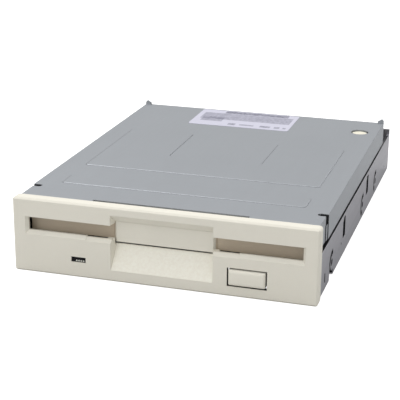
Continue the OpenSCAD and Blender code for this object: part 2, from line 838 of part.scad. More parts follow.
// Lever that the disk pushes back, its rivet and its spring
lever_t = 0.8;
rivet_r = 1.2;
rivet_head_r = 1.9;
rivet_head_t = 0.5;
lever_boss_r = 3;
lever_w = 4.4;
tail_reach = 12.3;
tail_angle = 150;
lever_coil_r = 2.2;
lever_turns = 1.5;
lever_pitch = 0.85;
lever_lead = 0.2;
lever_z = [holder_top + clear, holder_top + clear + lever_t];
rivet_top = lever_z[1] + clear + lever_turns * lever_pitch + lever_lead + spring_wire + rivet_head_t;
module latch_rivet() {
  color("silver") placed() {
    bar_z(lever_x, lever_y, [holder_roof, rivet_top], rivet_r);
    bar_z(lever_x, lever_y, [rivet_top - rivet_head_t, rivet_top], rivet_head_r + spring_wire);
    bar_z(lever_x, lever_y, [holder_top, lever_z[0] - shaft_gap], rivet_head_r);
  }
}
module lever_arm(angle, reach, end_r) {
  translate([lever_x, lever_y]) rotate(angle) {
    translate([0, -lever_w / 2]) square([reach, lever_w]);
    translate([reach, 0]) circle(end_r);
  }
}
module latch_lever() {
  tip = [lever_x, lever_y] + lever_reach * ray(lever_rest_angle);
  color("#c8a24a") placed() {
    flat_shape(lever_z) difference() {
      union() {
        translate([lever_x, lever_y]) circle(lever_boss_r);
        lever_arm(lever_rest_angle, lever_reach, tip_r + arc_gap);
        lever_arm(tail_angle, tail_reach - lever_w / 2, lever_w / 2);
      }
      translate([lever_x, lever_y]) circle(rivet_r + shaft_gap);
    }
    bar_z(tip[0], tip[1], [disk_high + clear, lever_z[0] + cut], tip_r);
  }
}
module latch_spring() {
  stops = coil_stops(lever_turns, lever_coil_r, lever_pitch, lever_lead);
  echo(latch_spring_least_gap = least_gap(stops, spring_wire));
  color("silver") placed()
    translate([lever_x, lever_y, lever_z[1] + clear]) wound_wire(stops, spring_wire);
}

// Chassis: side walls, deck between them, foot flanges and rear returns in one sheet
guide_slot_low = 6.7;
guide_slot_high = 13.9;
guide_slot_half = 2.2;
guide_slot_turn = 0.6;
notch_y = [20.8, 27];
notch_up = 2.1;
collar_len = 0.9;
pad_r = 3.3;
foot_w = 7;
return_w = 6;
deck_front = 13;
tapped_r = 1.25;
return_top = 17.4;
ring_end_angles = [62, 258];
ring_bridge_angles = [184, 204];
spot_r = 0.45;
rear_spot_in = 11.2;
rear_spot_z = 4.4;
low_spot = [41.5, 5.9];
boss_r = 2.6;
screw_shaft_r = 1;
screw_hole_gap = 0.03;
screw_hole_r = screw_shaft_r + screw_hole_gap;
through_deck = [deck_low - cut, deck_top + cut];
board_post_in = 9.5;
board_post_back = 5;
board_post_x = board_half - board_post_in;
board_post_y = board_front + board_post_back;
left_post_ahead = 3;
right_post_ahead = 5;
right_post_x = 26;
rear_post_left = [-board_post_x, deck_rear - left_post_ahead];
rear_post_right = [right_post_x, deck_rear - right_post_ahead];
board_posts = [
  [-board_post_x, board_post_y], [board_post_x, board_post_y], rear_post_right, rear_post_left
];
motor_screw_x = 27;
motor_screw_front = 10;
motor_screw_rear = 7.8;
motor_screw_y = [motor_board_y[0] + motor_screw_front, motor_board_y[1] - motor_screw_rear];
motor_screws = [for (y = motor_screw_y) for (side = [-1, 1]) [side * motor_screw_x, y]];
can_gap = 0.8;
can_window_x = grown([-screw_x - motor_r, -screw_x + motor_r], can_gap);
can_window_y = [motor_front - can_gap, motor_front + motor_len + can_gap];
bush_r = 4.2;
chassis_hook_w = 2.4;
chassis_hook_top = 11.7;

module ring_slots(y) {
  far = 2 * ring_slot_out;
  translate([y, side_hole_z]) difference() {
    circle(ring_slot_out);
    circle(ring_slot_in);
    polygon([
      [0, 0], far * ray(ring_end_angles[0]), far * [1, 0], far * [1, -1],
      far * [0, -1], far * ray(ring_end_angles[1])
    ]);
    polygon([[0, 0], for (a = ring_bridge_angles) far * ray(a)]);
  }
}
module guide_slot(y) {
  inner = guide_slot_half - guide_slot_turn;
  z = grown([guide_slot_low, guide_slot_high], -guide_slot_turn);
  translate([y - guide_slot_half, z[0]]) square([2 * guide_slot_half, z[1] - z[0]]);
  translate([y - inner, guide_slot_low]) square([2 * inner, guide_slot_high - guide_slot_low]);
  for (side = [-1, 1]) for (up = z) translate([y + side * inner, up]) circle(guide_slot_turn);
}
module wall_outline() {
  difference() {
    translate([bezel_t, chassis_low]) square([chassis_len, wall_top - chassis_low]);
    for (y = side_holes) {
      translate([y, side_hole_z]) circle(tapped_r);
      ring_slots(y);
    }
    guide_slot(guide_front);
    guide_slot(guide_rear);
    translate([hook_y[0] - hook_play, hook_z[0] - hook_play])
      square([hook_y[1] - hook_y[0] + 2 * hook_play, hook_z[1] - hook_z[0] + 2 * hook_play]);
    translate([notch_y[0], chassis_low - cut]) square([notch_y[1] - notch_y[0], notch_up + cut]);
    translate([frame_rear - rear_spot_in, rear_spot_z]) circle(spot_r);
    translate(low_spot) circle(spot_r);
  }
}
module chassis_side() {
  side_shape([wall_in, body_half]) wall_outline();
  for (y = side_holes)
    difference() {
      bar_x([wall_in - collar_len, wall_in], y, side_hole_z, collar_r);
      bar_x([wall_in - collar_len - cut, wall_in + cut], y, side_hole_z, tapped_r);
    }
  difference() {
    union() {
      block([body_half - foot_w, wall_in], [notch_y[1], frame_rear], [chassis_low, chassis_floor]);
      for (y = bottom_holes)
        bar_z(bottom_hole_x, y, [0, chassis_low], pad_r);
    }
    for (y = bottom_holes)
      bar_z(bottom_hole_x, y, [-cut, chassis_floor + cut], tapped_r);
  }
  block([body_half - return_w, body_half], [frame_rear - chassis_t, frame_rear], [chassis_low, return_top]);
  block(around(spring_x, chassis_hook_w), around(chassis_hook_y, hook_tab_t), [deck_low, chassis_hook_top]);
}
module chassis() {
  color("#8f9096") placed() {
    both_sides() chassis_side();
    difference() {
      block([-wall_in, wall_in], [deck_front, deck_rear], [deck_low, deck_top]);
      disc(through_deck, bush_r);
      block([-window_half, window_half], [window_front, window_rear], through_deck);
      block(can_window_x, can_window_y, through_deck);
      for (p = concat(motor_screws, bracket_screws))
        bar_z(p[0], p[1], through_deck, screw_hole_r);
    }
    for (p = board_posts)
      difference() {
        bar_z(p[0], p[1], [board_top, deck_low + cut], boss_r);
        bar_z(p[0], p[1], [board_top - cut, deck_low + cut], screw_hole_r);
      }
  }
}

// Top cover with its side flanges, inner tongues, rear drop and ears
cover_gap = 0.1;
through_cover = [cover_low - cut, cover_top + cut];
front_relief_x = [-25, 27];
front_relief_y = 6.6;
relief_len = 2;
front_inset = 0.5;
ear_w = 2.3;
ear_up = 1.7;
rear_drop = 5;
relief_front = 14;
relief_eye_r = 1.1;
tongue_y = [26, 62, 84, 118];
tongue_len = 7;
tongue_low = 12;
tongue_step = 0.2;
ear_slope = 0.7;
rear_drop_in = 3.2;
rear_drop_half = body_half - rear_drop_in;
module cover_ear() {
  low = cover_low;
  high = cover_top + ear_up;
  front_shape([cover_rear - cover_t, cover_rear]) polygon([
    [body_half - ear_w, low], [body_half, low], [body_half, high - ear_slope],
    [body_half - ear_slope, high], [body_half - ear_w, cover_top + ear_slope]
  ]);
}
module cover_side() {
  inner = body_half - cover_t;
  front_out = body_half - front_inset;
  tongue_in = wall_in - tongue_step - cover_t;
  block([inner, body_half], [relief_front + relief_len, cover_rear], [flange_low, cover_top]);
  block([front_out - cover_t, front_out], [bezel_t + cover_gap, relief_front], [flange_low, cover_top]);
  block([front_out - cover_t, body_half - front_inset / 2],
    [relief_front - cut, relief_front + relief_len + cut],
    [flange_low, cover_low - 2 * relief_eye_r]);
  for (y = tongue_y) {
    block([tongue_in, tongue_in + cover_t], [y, y + tongue_len], [tongue_low, flange_low + 2 * cover_t]);
    block([tongue_in, inner + cover_t / 2], [y, y + tongue_len], [flange_low, flange_low + 2 * cover_t]);
  }
  cover_ear();
}
module top_cover() {
  front = bezel_t + cover_gap;
  color("#a6aaae") placed() difference() {
    union() {
      flat_shape([cover_low, cover_top]) polygon([
        [front_inset - body_half, front], [body_half - front_inset, front],
        [body_half - front_inset, relief_front], [body_half, relief_front + relief_len],
        [body_half, cover_rear], [-body_half, cover_rear],
        [-body_half, relief_front + relief_len], [front_inset - body_half, relief_front]
      ]);
      both_sides() cover_side();
      block([-rear_drop_half, rear_drop_half], [cover_rear - cover_t, cover_rear],
        [cover_top - rear_drop, cover_top]);
    }
    block(front_relief_x, [front - cut, front_relief_y], through_cover);
    bar_z(cover_hole_x, cover_hole_y, through_cover, cover_hole_r);
    both_sides() {
      bar_z(body_half - 2 * relief_eye_r, relief_front + relief_len / 2,
        through_cover, relief_eye_r);
      block([body_half - 2 * relief_eye_r, body_half + cut], [relief_front, relief_front + relief_len],
        [cover_low - relief_eye_r, cover_top + cut]);
    }
  }
}

// Blank label on the cover and the post seen through the cover's hole
label_x = [-24.3, 16.2];
label_len = 23.2;
label_inset = 1.2;
label_y = [cover_rear - label_inset - label_len, cover_rear - label_inset];
label_t = 0.1;
label_corner = 1.2;
module cover_label() {
  color("#cfcbe0") placed() flat_shape([cover_top, cover_top + label_t])
    translate([(label_x[0] + label_x[1]) / 2, (label_y[0] + label_y[1]) / 2])
      rounded_rect(label_x[1] - label_x[0], label_y[1] - label_y[0], label_corner);
}
post_gap = 0.5;
post_foot_r = 3.9;
post_foot_t = 1.6;
module cover_post() {
  color("#efe9d2") placed() {
    bar_z(cover_hole_x, cover_hole_y, [deck_top, cover_low - clear], cover_hole_r);
    bar_z(cover_hole_x, cover_hole_y, [cover_low - clear - cut, cover_top - post_gap],
      cover_hole_r - post_gap);
    bar_z(cover_hole_x, cover_hole_y, [deck_top, deck_top + post_foot_t], post_foot_r);
  }
}

// Four posts that the loaded disk rests on, two of them with locating tips
datum_in = 6.9;
datum_x = holder_half - datum_in;
datum_y = [38.4, 88];
datum_r = 2.1;
datum_tip_r = 1.5;
datum_tip_up = 1.6;
module datum_posts() {
  color("#b9bcc0") placed() both_sides()
    for (y = datum_y) {
      bar_z(datum_x, y, [deck_top, disk_low], datum_r);
      if (y == datum_y[0])
        bar_z(datum_x, y, [disk_low - cut, disk_low + datum_tip_up], datum_tip_r);
    }
}

// Spindle: bush, shaft, hub with its magnet and drive pin, and the outer rotor under the board
bush_flange_r = 7;
bush_flange_t = 1;
bush_low = 3.7;
magnet_in = 3.4;
magnet_out = 7.6;
magnet_t = 1;
magnet_sink = 0.1;
pin_hole_gap = 0.15;
drive_pin_up = 1.3;
drive_pin_len = 3;
rotor_boss_r = 3.4;
rotor_boss_h = 1.2;
ring_magnet_t = 1.9;
ring_magnet_h = 2.4;
rotor_holes = 6;
rotor_hole_r = 1.6;
rotor_hole_at = 14;
module spindle_bearing() {
  color("#b98d3e") placed() difference() {
    union() {
      disc([bush_low, deck_top + bush_flange_t], bush_r);
      disc([deck_top, deck_top + bush_flange_t], bush_flange_r);
    }
    disc([bush_low - cut, hub_low], shaft_r + shaft_gap);
  }
}
module spindle_shaft() {
  color("#c9ccd0") placed() disc([rotor_low, shaft_top], shaft_r);
}
module spindle_hub() {
  color("#c4c6c8") placed() difference() {
    disc([hub_low, hub_top], hub_r);
    disc([hub_low - cut, hub_top + cut], shaft_r);
    difference() {
      disc([hub_top - magnet_t - magnet_sink, hub_top + cut], magnet_out);
      disc([hub_low, hub_top + 2 * cut], magnet_in);
    }
    bar_z(drive_pin_at, spindle_y, [hub_low - cut, hub_top + cut], drive_pin_r + pin_hole_gap);
  }
}
module hub_magnet() {
  color("#3a3a3e") placed() difference() {
    disc([hub_top - magnet_t - magnet_sink, hub_top - magnet_sink], magnet_out);
    disc([hub_low, hub_top + cut], magnet_in);
  }
}
module drive_pin() {
  tip = hub_top + drive_pin_up;
  color("#d8d9da") placed() {
    bar_z(drive_pin_at, spindle_y, [tip - drive_pin_len, tip - drive_pin_r / 2], drive_pin_r);
    translate([drive_pin_at, spindle_y, tip - drive_pin_r / 2])
      cylinder(h = drive_pin_r / 2, r1 = drive_pin_r, r2 = drive_pin_r / 2);
  }
}
module rotor_cup() {
  high = rotor_low + rotor_h;
  color("#a2a5a8") placed() difference() {
    union() {
      difference() {
        disc([rotor_low, high], rotor_r);
        disc([rotor_low + rotor_t, high + cut], rotor_r - rotor_t);
      }
      disc([rotor_low, rotor_low + rotor_boss_h], rotor_boss_r);
    }
    disc([rotor_low - cut, high], shaft_r);
    for (i = [1 : rotor_holes])
      translate([0, spindle_y, 0]) rotate(360 * i / rotor_holes)
        bar_z(rotor_hole_at, 0, [rotor_low - cut, rotor_low + rotor_t + cut], rotor_hole_r);
  }
}
module rotor_magnet() {
  low = rotor_low + rotor_t;
  outer = rotor_r - rotor_t;
  color("#45403c") placed() difference() {
    disc([low, low + ring_magnet_h], outer);
    disc([low - cut, low + ring_magnet_h + cut], outer - ring_magnet_t);
  }
}

// Stator on the bush, under the motor board
core_low = 4.4;
core_t = 1.2;
core_ring_r = 8;
pole_w = 2.4;
pole_head_w = 5.6;
pole_head_t = 1.3;
air_gap = 0.5;
coil_w = 4.2;
coil_in = 9;
coil_grow = 0.6;
pole_end = rotor_r - rotor_t - ring_magnet_t - air_gap;
module stator_core() {
  color("#7d7f85") placed() translate([0, spindle_y, 0]) flat_shape([core_low, core_low + core_t])
    difference() {
      union() {
        circle(core_ring_r);
        for (i = [1 : poles])
          rotate(360 * i / poles) {
            translate([0, -pole_w / 2]) square([pole_end - pole_head_t / 2, pole_w]);
            intersection() {
              difference() {
                circle(pole_end);
                circle(pole_end - pole_head_t);
              }
              translate([0, -pole_head_w / 2]) square([rotor_r, pole_head_w]);
            }
          }
      }
      circle(bush_r);
    }
}
module stator_coils() {
  long = [coil_in, pole_end - pole_head_t - coil_grow / 2];
  color("#b4672f") placed() for (i = [1 : poles])
    translate([0, spindle_y, 0]) rotate(360 * i / poles) difference() {
      flat_shape([core_low - coil_grow, core_low + core_t + coil_grow]) polygon([
        [long[0], -pole_w], [long[0], pole_w], [long[1], coil_w / 2 + coil_grow],
        [long[1], -coil_w / 2 - coil_grow]
      ]);
      block(grown(long, cut), around(0, pole_w), [core_low, core_low + core_t]);
    }
}
board_sheet_t = 1;
motor_board_x = [-34, 35];
lamp_tongue_in = 6.15;
lamp_tongue_x = [motor_board_x[0], lamp_tongue_in - lamp_x];
lamp_tongue_y = 10.2;
corner_cut = 5;
motor_board_z = [deck_low - board_sheet_t, deck_low];
module motor_board() {
  color("#5a6b3a") placed() flat_shape(motor_board_z) difference() {
    union() {
      polygon([
        [motor_board_x[0], motor_board_y[0]], [motor_board_x[1] - corner_cut, motor_board_y[0]],
        [motor_board_x[1], motor_board_y[0] + corner_cut], [motor_board_x[1], motor_board_y[1]],
        [motor_board_x[0] + corner_cut, motor_board_y[1]],
        [motor_board_x[0], motor_board_y[1] - corner_cut]
      ]);
      translate([lamp_tongue_x[0], lamp_tongue_y])
        square([lamp_tongue_x[1] - lamp_tongue_x[0], motor_board_y[0] - lamp_tongue_y + cut]);
    }
    translate([0, spindle_y]) circle(bush_r);
    for (p = motor_screws)
      translate(p) circle(screw_hole_r);
  }
}
module lamp_leads() {
  low = motor_board_z[0] - lead_r;
  color("silver") placed() for (x = around(-lamp_x, lead_pitch))
    bar_y(x, [lamp_back, lamp_tongue_y + lead_seat], low, lead_r);
}

// Guide rods on the deck, each end held in a clamp
clamp_w = 6.4;
clamp_len = 2.6;
clamp_top = 12;
module guide_rods() {
  color("#d3d5d8") placed() both_sides() bar_y(rod_x, rod_span, rod_z, rod_r);
}
module rod_clamps() {
  color("#9b9da1") placed() both_sides()
    for (y = [rod_span[0], rod_span[1] - clamp_len])
      difference() {
        block(around(rod_x, clamp_w), [y, y + clamp_len], [deck_top, clamp_top]);
        bar_y(rod_x, grown([y, y + clamp_len], cut), rod_z, rod_r);
      }
}

// Head carriage on the rods, with its tower, track flag and lower head
platform_half = 5;
platform_back = 12;
tower_half = 8;
tower_len = 4.4;
tower_gap_half = 5.7;
tower_top = 18.1;
tower_floor = 13.6;
flag_x = [18.8, 19.6];
flag_reach = 7;
flag_low = 10.4;
flag_arm_w = 2.6;
carriage_back = head_y + carriage_rear_reach;
carriage_hollow_half = 7;
carriage_wall = 0.8;
module head_carriage() {
  front = head_y - carriage_front_reach;
  body_front = head_y - carriage_front_reach + platform_back;
  color("#2f3136") placed() difference() {
    union() {
      block([-carriage_half, carriage_half], [body_front, carriage_back], [carriage_low, carriage_top]);
      block([-platform_half, platform_half], [front, body_front + cut], [carriage_low, carriage_top]);
      block([-tower_half, tower_half], [carriage_back - tower_len, carriage_back],
        [carriage_low, tower_floor]);
      both_sides() block([tower_gap_half, tower_half], [carriage_back - tower_len, carriage_back],
        [carriage_top - cut, tower_top]);
      block([carriage_half - cut, flag_x[1]],
        [carriage_back - flag_reach, carriage_back - flag_reach + flag_arm_w], [flag_low, carriage_top]);
      block(flag_x, [carriage_back - flag_reach, carriage_back], [flag_low, carriage_top]);
    }
    both_sides() bar_y(rod_x, [body_front - cut, carriage_back + cut], rod_z, rod_r + rod_gap);
    block([-carriage_hollow_half, carriage_hollow_half],
      [body_front + carriage_wall, carriage_back - tower_len - carriage_wall],
      [carriage_low + carriage_wall, carriage_top + cut]);
    bar_x([-tower_half - cut, tower_half + cut], arm_pivot_y, pivot_z, pivot_r);
  }
}
head_half = 3.2;
head_len = 6.4;
lower_head_top = 14.2;
module lower_head() {
  color("#3b3634") placed() difference() {
    block([-head_half, head_half], around(head_y, head_len), [carriage_top, lower_head_top]);
    block(around(0, clear), grown(around(head_y, head_len), cut),
      [lower_head_top - clear, lower_head_top + cut]);
  }
}
needle_r = 0.35;
needle_back = 14;
needle_gap = 0.15;
needle_y = carriage_back - needle_back;
module screw_follower() {
  color("#c3c5c7") placed()
    bar_x([-screw_x + screw_r - groove_depth + needle_gap, -carriage_half], needle_y, screw_z, needle_r);
}
module arm_pivot_pin() {
  color("#c9ccd0") placed() bar_x([-tower_half, tower_half], arm_pivot_y, pivot_z, pivot_r);
}

// Upper arm, drawn as it lies on a loaded disk and then lifted about its pivot
arm_barrel_r = 1.6;
arm_low = -0.2;
arm_high = 1.6;
arm_half = 7;
arm_wide_at = 4.6;
arm_front_reach = 28.7;
lug_x = 11.2;
lug_low = 1.07;
lug_high = 2.4;
lug_at = 13.8;
lug_len = 2;
upper_head_low = -2.1;
module lifted() {
  translate([0, arm_pivot_y, pivot_z]) rotate([-arm_lift, 0, 0]) children();
}
module head_arm() {
  root_half = tower_gap_half - clear;
  color("#2f3136") placed() lifted() difference() {
    union() {
      bar_x([-root_half, root_half], 0, 0, arm_barrel_r);
      flat_shape([arm_low, arm_high]) polygon([
        [-root_half, 0], [-root_half, -arm_wide_at], [-arm_half, -arm_wide_at - arm_barrel_r],
        [-arm_half, -arm_reach], [-head_half - clear, -arm_front_reach],
        [head_half + clear, -arm_front_reach], [arm_half, -arm_reach],
        [arm_half, -arm_wide_at - arm_barrel_r], [root_half, -arm_wide_at], [root_half, 0]
      ]);
      block([arm_half - cut, lug_x], around(-lug_at, lug_len), [lug_low, lug_high]);
    }
    bar_x(grown([-root_half, root_half], cut), 0, 0, pivot_r + shaft_gap);
  }
}
module upper_head() {
  color("#3b3634") placed() lifted()
    block([-head_half, head_half], around(-arm_reach, head_len), [upper_head_low, arm_low]);
}
arm_spring_half = 2.6;
arm_spring_t = 0.3;
arm_spring_end = -23;
module arm_spring() {
  color("#cfc8a8") placed() lifted()
    block([-arm_spring_half, arm_spring_half], [arm_spring_end, -arm_wide_at],
      [arm_high, arm_high + arm_spring_t]);
}

// Stepping motor, its bracket, and the lead screw that drives the carriage
motor_bore_len = 5;
motor_cap_r = 4;
bracket_t = 0.8;
bracket_w = 22;
bracket_top = 17;
bracket_foot_len = 7;
bracket_eye_r = 3.4;
screw_shaft = 1;
screw_tip_r = 0.8;
thread_spare = 3.2;
thread_setback = 2;
screw_thread = [needle_y - head_travel - thread_spare, motor_front - thread_setback];
tip_bearing_len = 2.8;
tip_bearing_gap = 1.6;
tip_bearing_y = [
  screw_thread[0] - tip_bearing_gap - tip_bearing_len, screw_thread[0] - tip_bearing_gap
];
tip_bearing_w = 5;
tip_bearing_top = 12.2;
thread_steps = 60;
thread_points = 14;
thread_notch_angle = 50;
floor_points = 4;
foot_hole_at = 2.9;
bracket_screws = [for (side = [-1, 1])
  [side * (bracket_w / 2 - foot_hole_at) - screw_x, motor_front - bracket_t - bracket_foot_len / 2]];
module stepper_motor() {
  y = [motor_front, motor_front + motor_len];
  color("#a0a2a6") placed() difference() {
    union() {
      axle(y, motor_r);
      axle([y[1] - cut, y[1] + motor_cap_t], motor_cap_r);
      axle([y[0] - bracket_t, y[0] + cut], bracket_eye_r);
    }
    axle([y[0] - bracket_t - cut, y[0] + motor_bore_len], screw_shaft + shaft_gap);
  }
}
module motor_bracket() {
  x = around(-screw_x, bracket_w);
  foot_y = [motor_front - bracket_t - bracket_foot_len, motor_front];
  color("#b1b3b5") placed() difference() {
    union() {
      block(x, [motor_front - bracket_t, motor_front], [deck_top, bracket_top]);
      block(x, foot_y, [deck_top, deck_top + bracket_t]);
    }
    axle(grown([motor_front - bracket_t, motor_front], cut), bracket_eye_r);
    block(around(-screw_x, 2 * bracket_eye_r), [foot_y[0] - cut, motor_front - bracket_t],
      [deck_top - cut, bracket_top]);
    for (p = bracket_screws)
      bar_z(p[0], p[1], [deck_top - cut, bracket_top], screw_hole_r);
  }
}
module lead_screw() {
  length = screw_thread[1] - screw_thread[0];
  core = screw_r - groove_depth;
  start = -360 * (needle_y - screw_thread[0]) / screw_pitch;
  land = [for (i = [0 : thread_points])
    let (a = thread_notch_angle + (360 - 2 * thread_notch_angle) * i / thread_points)
    screw_r * ray(a)];
  floor_arc = [for (i = [0 : floor_points])
    let (a = thread_notch_angle * (2 * i / floor_points - 1))
    core * ray(a)];
  color("#c6c8ca") placed() {
    translate([-screw_x, screw_thread[0], screw_z]) rotate([-90, 0, 0]) rotate(start)
      linear_extrude(length, twist = -360 * length / screw_pitch, slices = thread_steps)
        polygon(concat(land, floor_arc));
    axle([tip_bearing_y[0] + clear, screw_thread[0] + cut], screw_tip_r);
    axle([screw_thread[1] - cut, motor_front + motor_bore_len - clear], screw_shaft);
  }
}
module screw_bearing() {
  color("#e4e0d2") placed() difference() {
    block(around(-screw_x, tip_bearing_w), tip_bearing_y, [deck_top, tip_bearing_top]);
    axle(grown(tip_bearing_y, cut), screw_tip_r + shaft_gap);
  }
}

// Light gate that the carriage's flag enters at the outer track
gate_x = [16, 22.4];
gate_len = 4.5;
gate_base_t = 1.4;
gate_wall = 1.7;
gate_top = 13.6;
module track_sensor() {
  y = [carriage_back - gate_len + 1.5 * clear, carriage_back + gate_base_t];
  color("#1d1e22") placed() {
    block(gate_x, y, [deck_top, deck_top + gate_base_t]);
    block([gate_x[0], gate_x[0] + gate_wall], y, [deck_top, gate_top]);
    block([gate_x[1] - gate_wall, gate_x[1]], y, [deck_top, gate_top]);
  }
}

// Three switches under the front corners of the disk, each with its plunger
plunger_gap = 0.15;
plunger_top = disk_low + plunger_travel;
plunger_foot = 0.5;
switch_x = holder_half - switch_in;
switch_places = [-switch_x, switch_pitch - switch_x, switch_x];
module sensor_switches() {
  color("#26282d") placed() for (x = switch_places)
    difference() {
      block(around(x, switch_w), around(switch_y, switch_w), [deck_top, deck_top + switch_h]);
      bar_z(x, switch_y, [deck_top + plunger_foot, deck_top + switch_h + cut], plunger_r + plunger_gap);
    }
}
module plunger(x) {
  low = deck_top + plunger_foot + plunger_travel + plunger_gap;
  color("#d9d2c0") placed() {
    bar_z(x, switch_y, [low, plunger_top - plunger_r / 3], plunger_r);
    translate([x, switch_y, plunger_top - plunger_r / 3])
      cylinder(h = plunger_r / 3, r1 = plunger_r, r2 = plunger_r * 2 / 3);
  }
}
module write_protect_plunger() {
  plunger(switch_places[0]);
}
module disk_present_plunger() {
  plunger(switch_places[1]);
}
module density_plunger() {
  plunger(switch_places[2]);
}

// Rear board with its connectors and parts
board_window_x = grown([-screw_x - motor_r, -screw_x + motor_r], 2 * can_gap);
board_window_y = grown([motor_front - bracket_t, motor_front + motor_len + motor_cap_t], can_gap);
module main_board() {
  color("#2f6b45") placed() flat_shape([board_low, board_top]) difference() {
    translate([-board_half, board_front]) square([2 * board_half, board_rear - board_front]);
    translate([board_window_x[0], board_window_y[0]])
      square([board_window_x[1] - board_window_x[0], board_window_y[1] - board_window_y[0]]);
    for (p = board_posts)
      translate(p) circle(screw_hole_r);
  }
}
header_wall = 1.3;
header_back = 2.2;
header_slot_w = 4.6;
header_slot_h = 3.2;
pin_w = 0.64;
pin_tail = 2;
pin_setback_rear = 1.6;
signal_rows = 2;
signal_row_z = board_top + (signal_h - signal_pitch) / 2;
module box_header(middle, width, height, depth) {
  y = [board_rear - depth, board_rear];
  difference() {
    block(around(middle, width), y, [board_top, board_top + height]);
    block(grown(around(middle, width), -header_wall), [y[0] + header_back, y[1] + cut],
      [board_top + header_wall, board_top + height - header_wall]);
    children();
  }
}
module signal_connector() {
  color("#1c1d20") placed()
    box_header(signal_x, signal_w, signal_h, signal_d)
      block(around(signal_x, header_slot_w), [board_rear - signal_d + header_back, board_rear + cut],
        [board_top + signal_h - header_slot_h, board_top + signal_h + cut]);
}
module bent_pin(x, row_z, tail_y, tip_y) {
  block(around(x, pin_w), [tail_y - pin_w / 2, tip_y], around(row_z, pin_w));
  block(around(x, pin_w), around(tail_y, pin_w), [board_top, row_z + pin_w / 2]);
}
module signal_pins() {
  first = signal_x - signal_pitch * (signal_columns - 1) / 2;
  front = board_rear - signal_d;
  color("#c9a646") placed() for (i = [0 : signal_columns - 1])
    for (row = [0 : signal_rows - 1])
      bent_pin(first + i * signal_pitch, signal_row_z + row * signal_pitch,
        front - pin_tail * (row + 1) / 2, board_rear - pin_setback_rear);
}
power_pin_count = 4;
power_h = 7.6;
power_d = 8.4;
power_row_up = 3.6;
power_row_z = board_top + power_row_up;
power_lip = 2.2;
module power_connector() {
  color("#e9e6dc") placed()
    box_header(-power_x, power_w, power_h, power_d)
      block(around(-power_x, power_w - 2 * power_lip), [board_rear - power_d / 2, board_rear + cut],
        [board_top + power_h - 2 * header_wall, board_top + power_h + cut]);
}
module power_pins() {
  color("#d4d6d8") placed() for (i = [0 : power_pin_count - 1])
    bent_pin(-power_x + (i - (power_pin_count - 1) / 2) * power_pitch, power_row_z,
      board_rear - power_d - pin_tail / 2, board_rear - pin_setback_rear);
}
// Each chip as its middle, its size and the number of leads on each long side
large_chip_x = 18;
large_chip_back = 17;
large_chip_w = 13;
large_chip_leads = 12;
small_chip_x = -4;
small_chip_ahead = 10.6;
small_chip_w = 14;
small_chip_d = 8;
small_chip_leads = 10;
chips = [
  [[large_chip_x, board_front + large_chip_back], [large_chip_w, large_chip_w], large_chip_leads],
  [[small_chip_x, board_rear - small_chip_ahead], [small_chip_w, small_chip_d], small_chip_leads]
];
chip_t = 2;
chip_stand = 0.15;
lead_w = 0.4;
lead_out = 1.3;
lead_t = 0.25;
module control_chips() {
  color("#202124") placed() for (c = chips)
    block(around(c[0][0], c[1][0]), around(c[0][1], c[1][1]),
      [board_low - chip_stand - chip_t, board_low - chip_stand]);
}
module chip_leads() {
  color("#c8cacc") placed() for (c = chips)
    for (side = [-1, 1])
      for (i = [0 : c[2] - 1]) {
        x = c[0][0] + (i - (c[2] - 1) / 2) * c[1][0] / (c[2] + 1);
        edge = c[0][1] + side * c[1][1] / 2;
        tip = edge + side * lead_out;
        block(around(x, lead_w), [min(edge, tip), max(edge, tip)], [board_low - lead_t, board_low]);
        block(around(x, lead_w), [min(edge, edge + side * lead_w), max(edge, edge + side * lead_w)],
          [board_low - chip_stand - chip_t / 2, board_low]);
      }
}
capacitor_r = 2.5;
capacitor_h = 6.2;
capacitor_ahead = 3.6;
capacitor_pitch = 5.6;
capacitor_x = (signal_x - signal_w / 2 - power_x + power_w / 2) / 2;
module capacitors() {
  color("#34445e") placed() for (i = [0, 1])
    bar_z(capacitor_x, board_rear - capacitor_ahead - i * capacitor_pitch,
      [board_top, board_top + capacitor_h], capacitor_r);
}
// Flat ribbon between the two boards, ending in a socket on each
ribbon_w = 10;
ribbon_aside = 10;
ribbon_mid = board_post_x - ribbon_aside;
ribbon_x = around(ribbon_mid, ribbon_w);
ribbon_t = 0.2;
ribbon_drop = 0.25;
ribbon_z = [motor_board_z[0] - ribbon_drop - ribbon_t, motor_board_z[0] - ribbon_drop];
socket_len = 4;
socket_grow = 1;
front_socket_y = motor_board_y[1] - socket_len - clear;
rear_socket_y = 107;
module motor_ribbon() {
  color("#e6e2d6") placed()
    block(ribbon_x, [front_socket_y + socket_len, rear_socket_y], ribbon_z);
}
module ribbon_sockets() {
  x = grown(ribbon_x, socket_grow);
  color("#efe9da") placed() {
    block(x, [front_socket_y, front_socket_y + socket_len], [ribbon_z[0] - lead_w, motor_board_z[0]]);
    block(x, [rear_socket_y, rear_socket_y + socket_len], [board_top, ribbon_z[1] + lead_w]);
  }
}
// Small screws, with pan heads and a cross recess
screw_head_r = 1.9;
screw_head_t = 1.1;
screw_len = 3;
motor_screw_len = board_sheet_t + chassis_t;
bracket_screw_len = bracket_t + chassis_t;
recess_w = 0.5;
recess_t = 0.5;
recess_len = 2.2;
module small_screw(length) {
  difference() {
    union() {
      translate([0, 0, -screw_head_t])
        cylinder(h = screw_head_t, r1 = screw_head_r - recess_w, r2 = screw_head_r);
      cylinder(h = length, r = screw_shaft_r);
    }
    for (a = [0, 90])
      rotate(a) block(around(0, recess_len), around(0, recess_w),
        [-screw_head_t - cut, recess_t - screw_head_t]);
  }
}
module screws() {
  color("#6f7276") placed() {
    for (p = board_posts)
      translate([p[0], p[1], board_low]) small_screw(screw_len);
    for (p = motor_screws)
      translate([p[0], p[1], motor_board_z[0]]) small_screw(motor_screw_len);
    for (p = bracket_screws)
      translate([p[0], p[1], deck_top + bracket_t]) mirror([0, 0, 1]) small_screw(bracket_screw_len);
  }
}

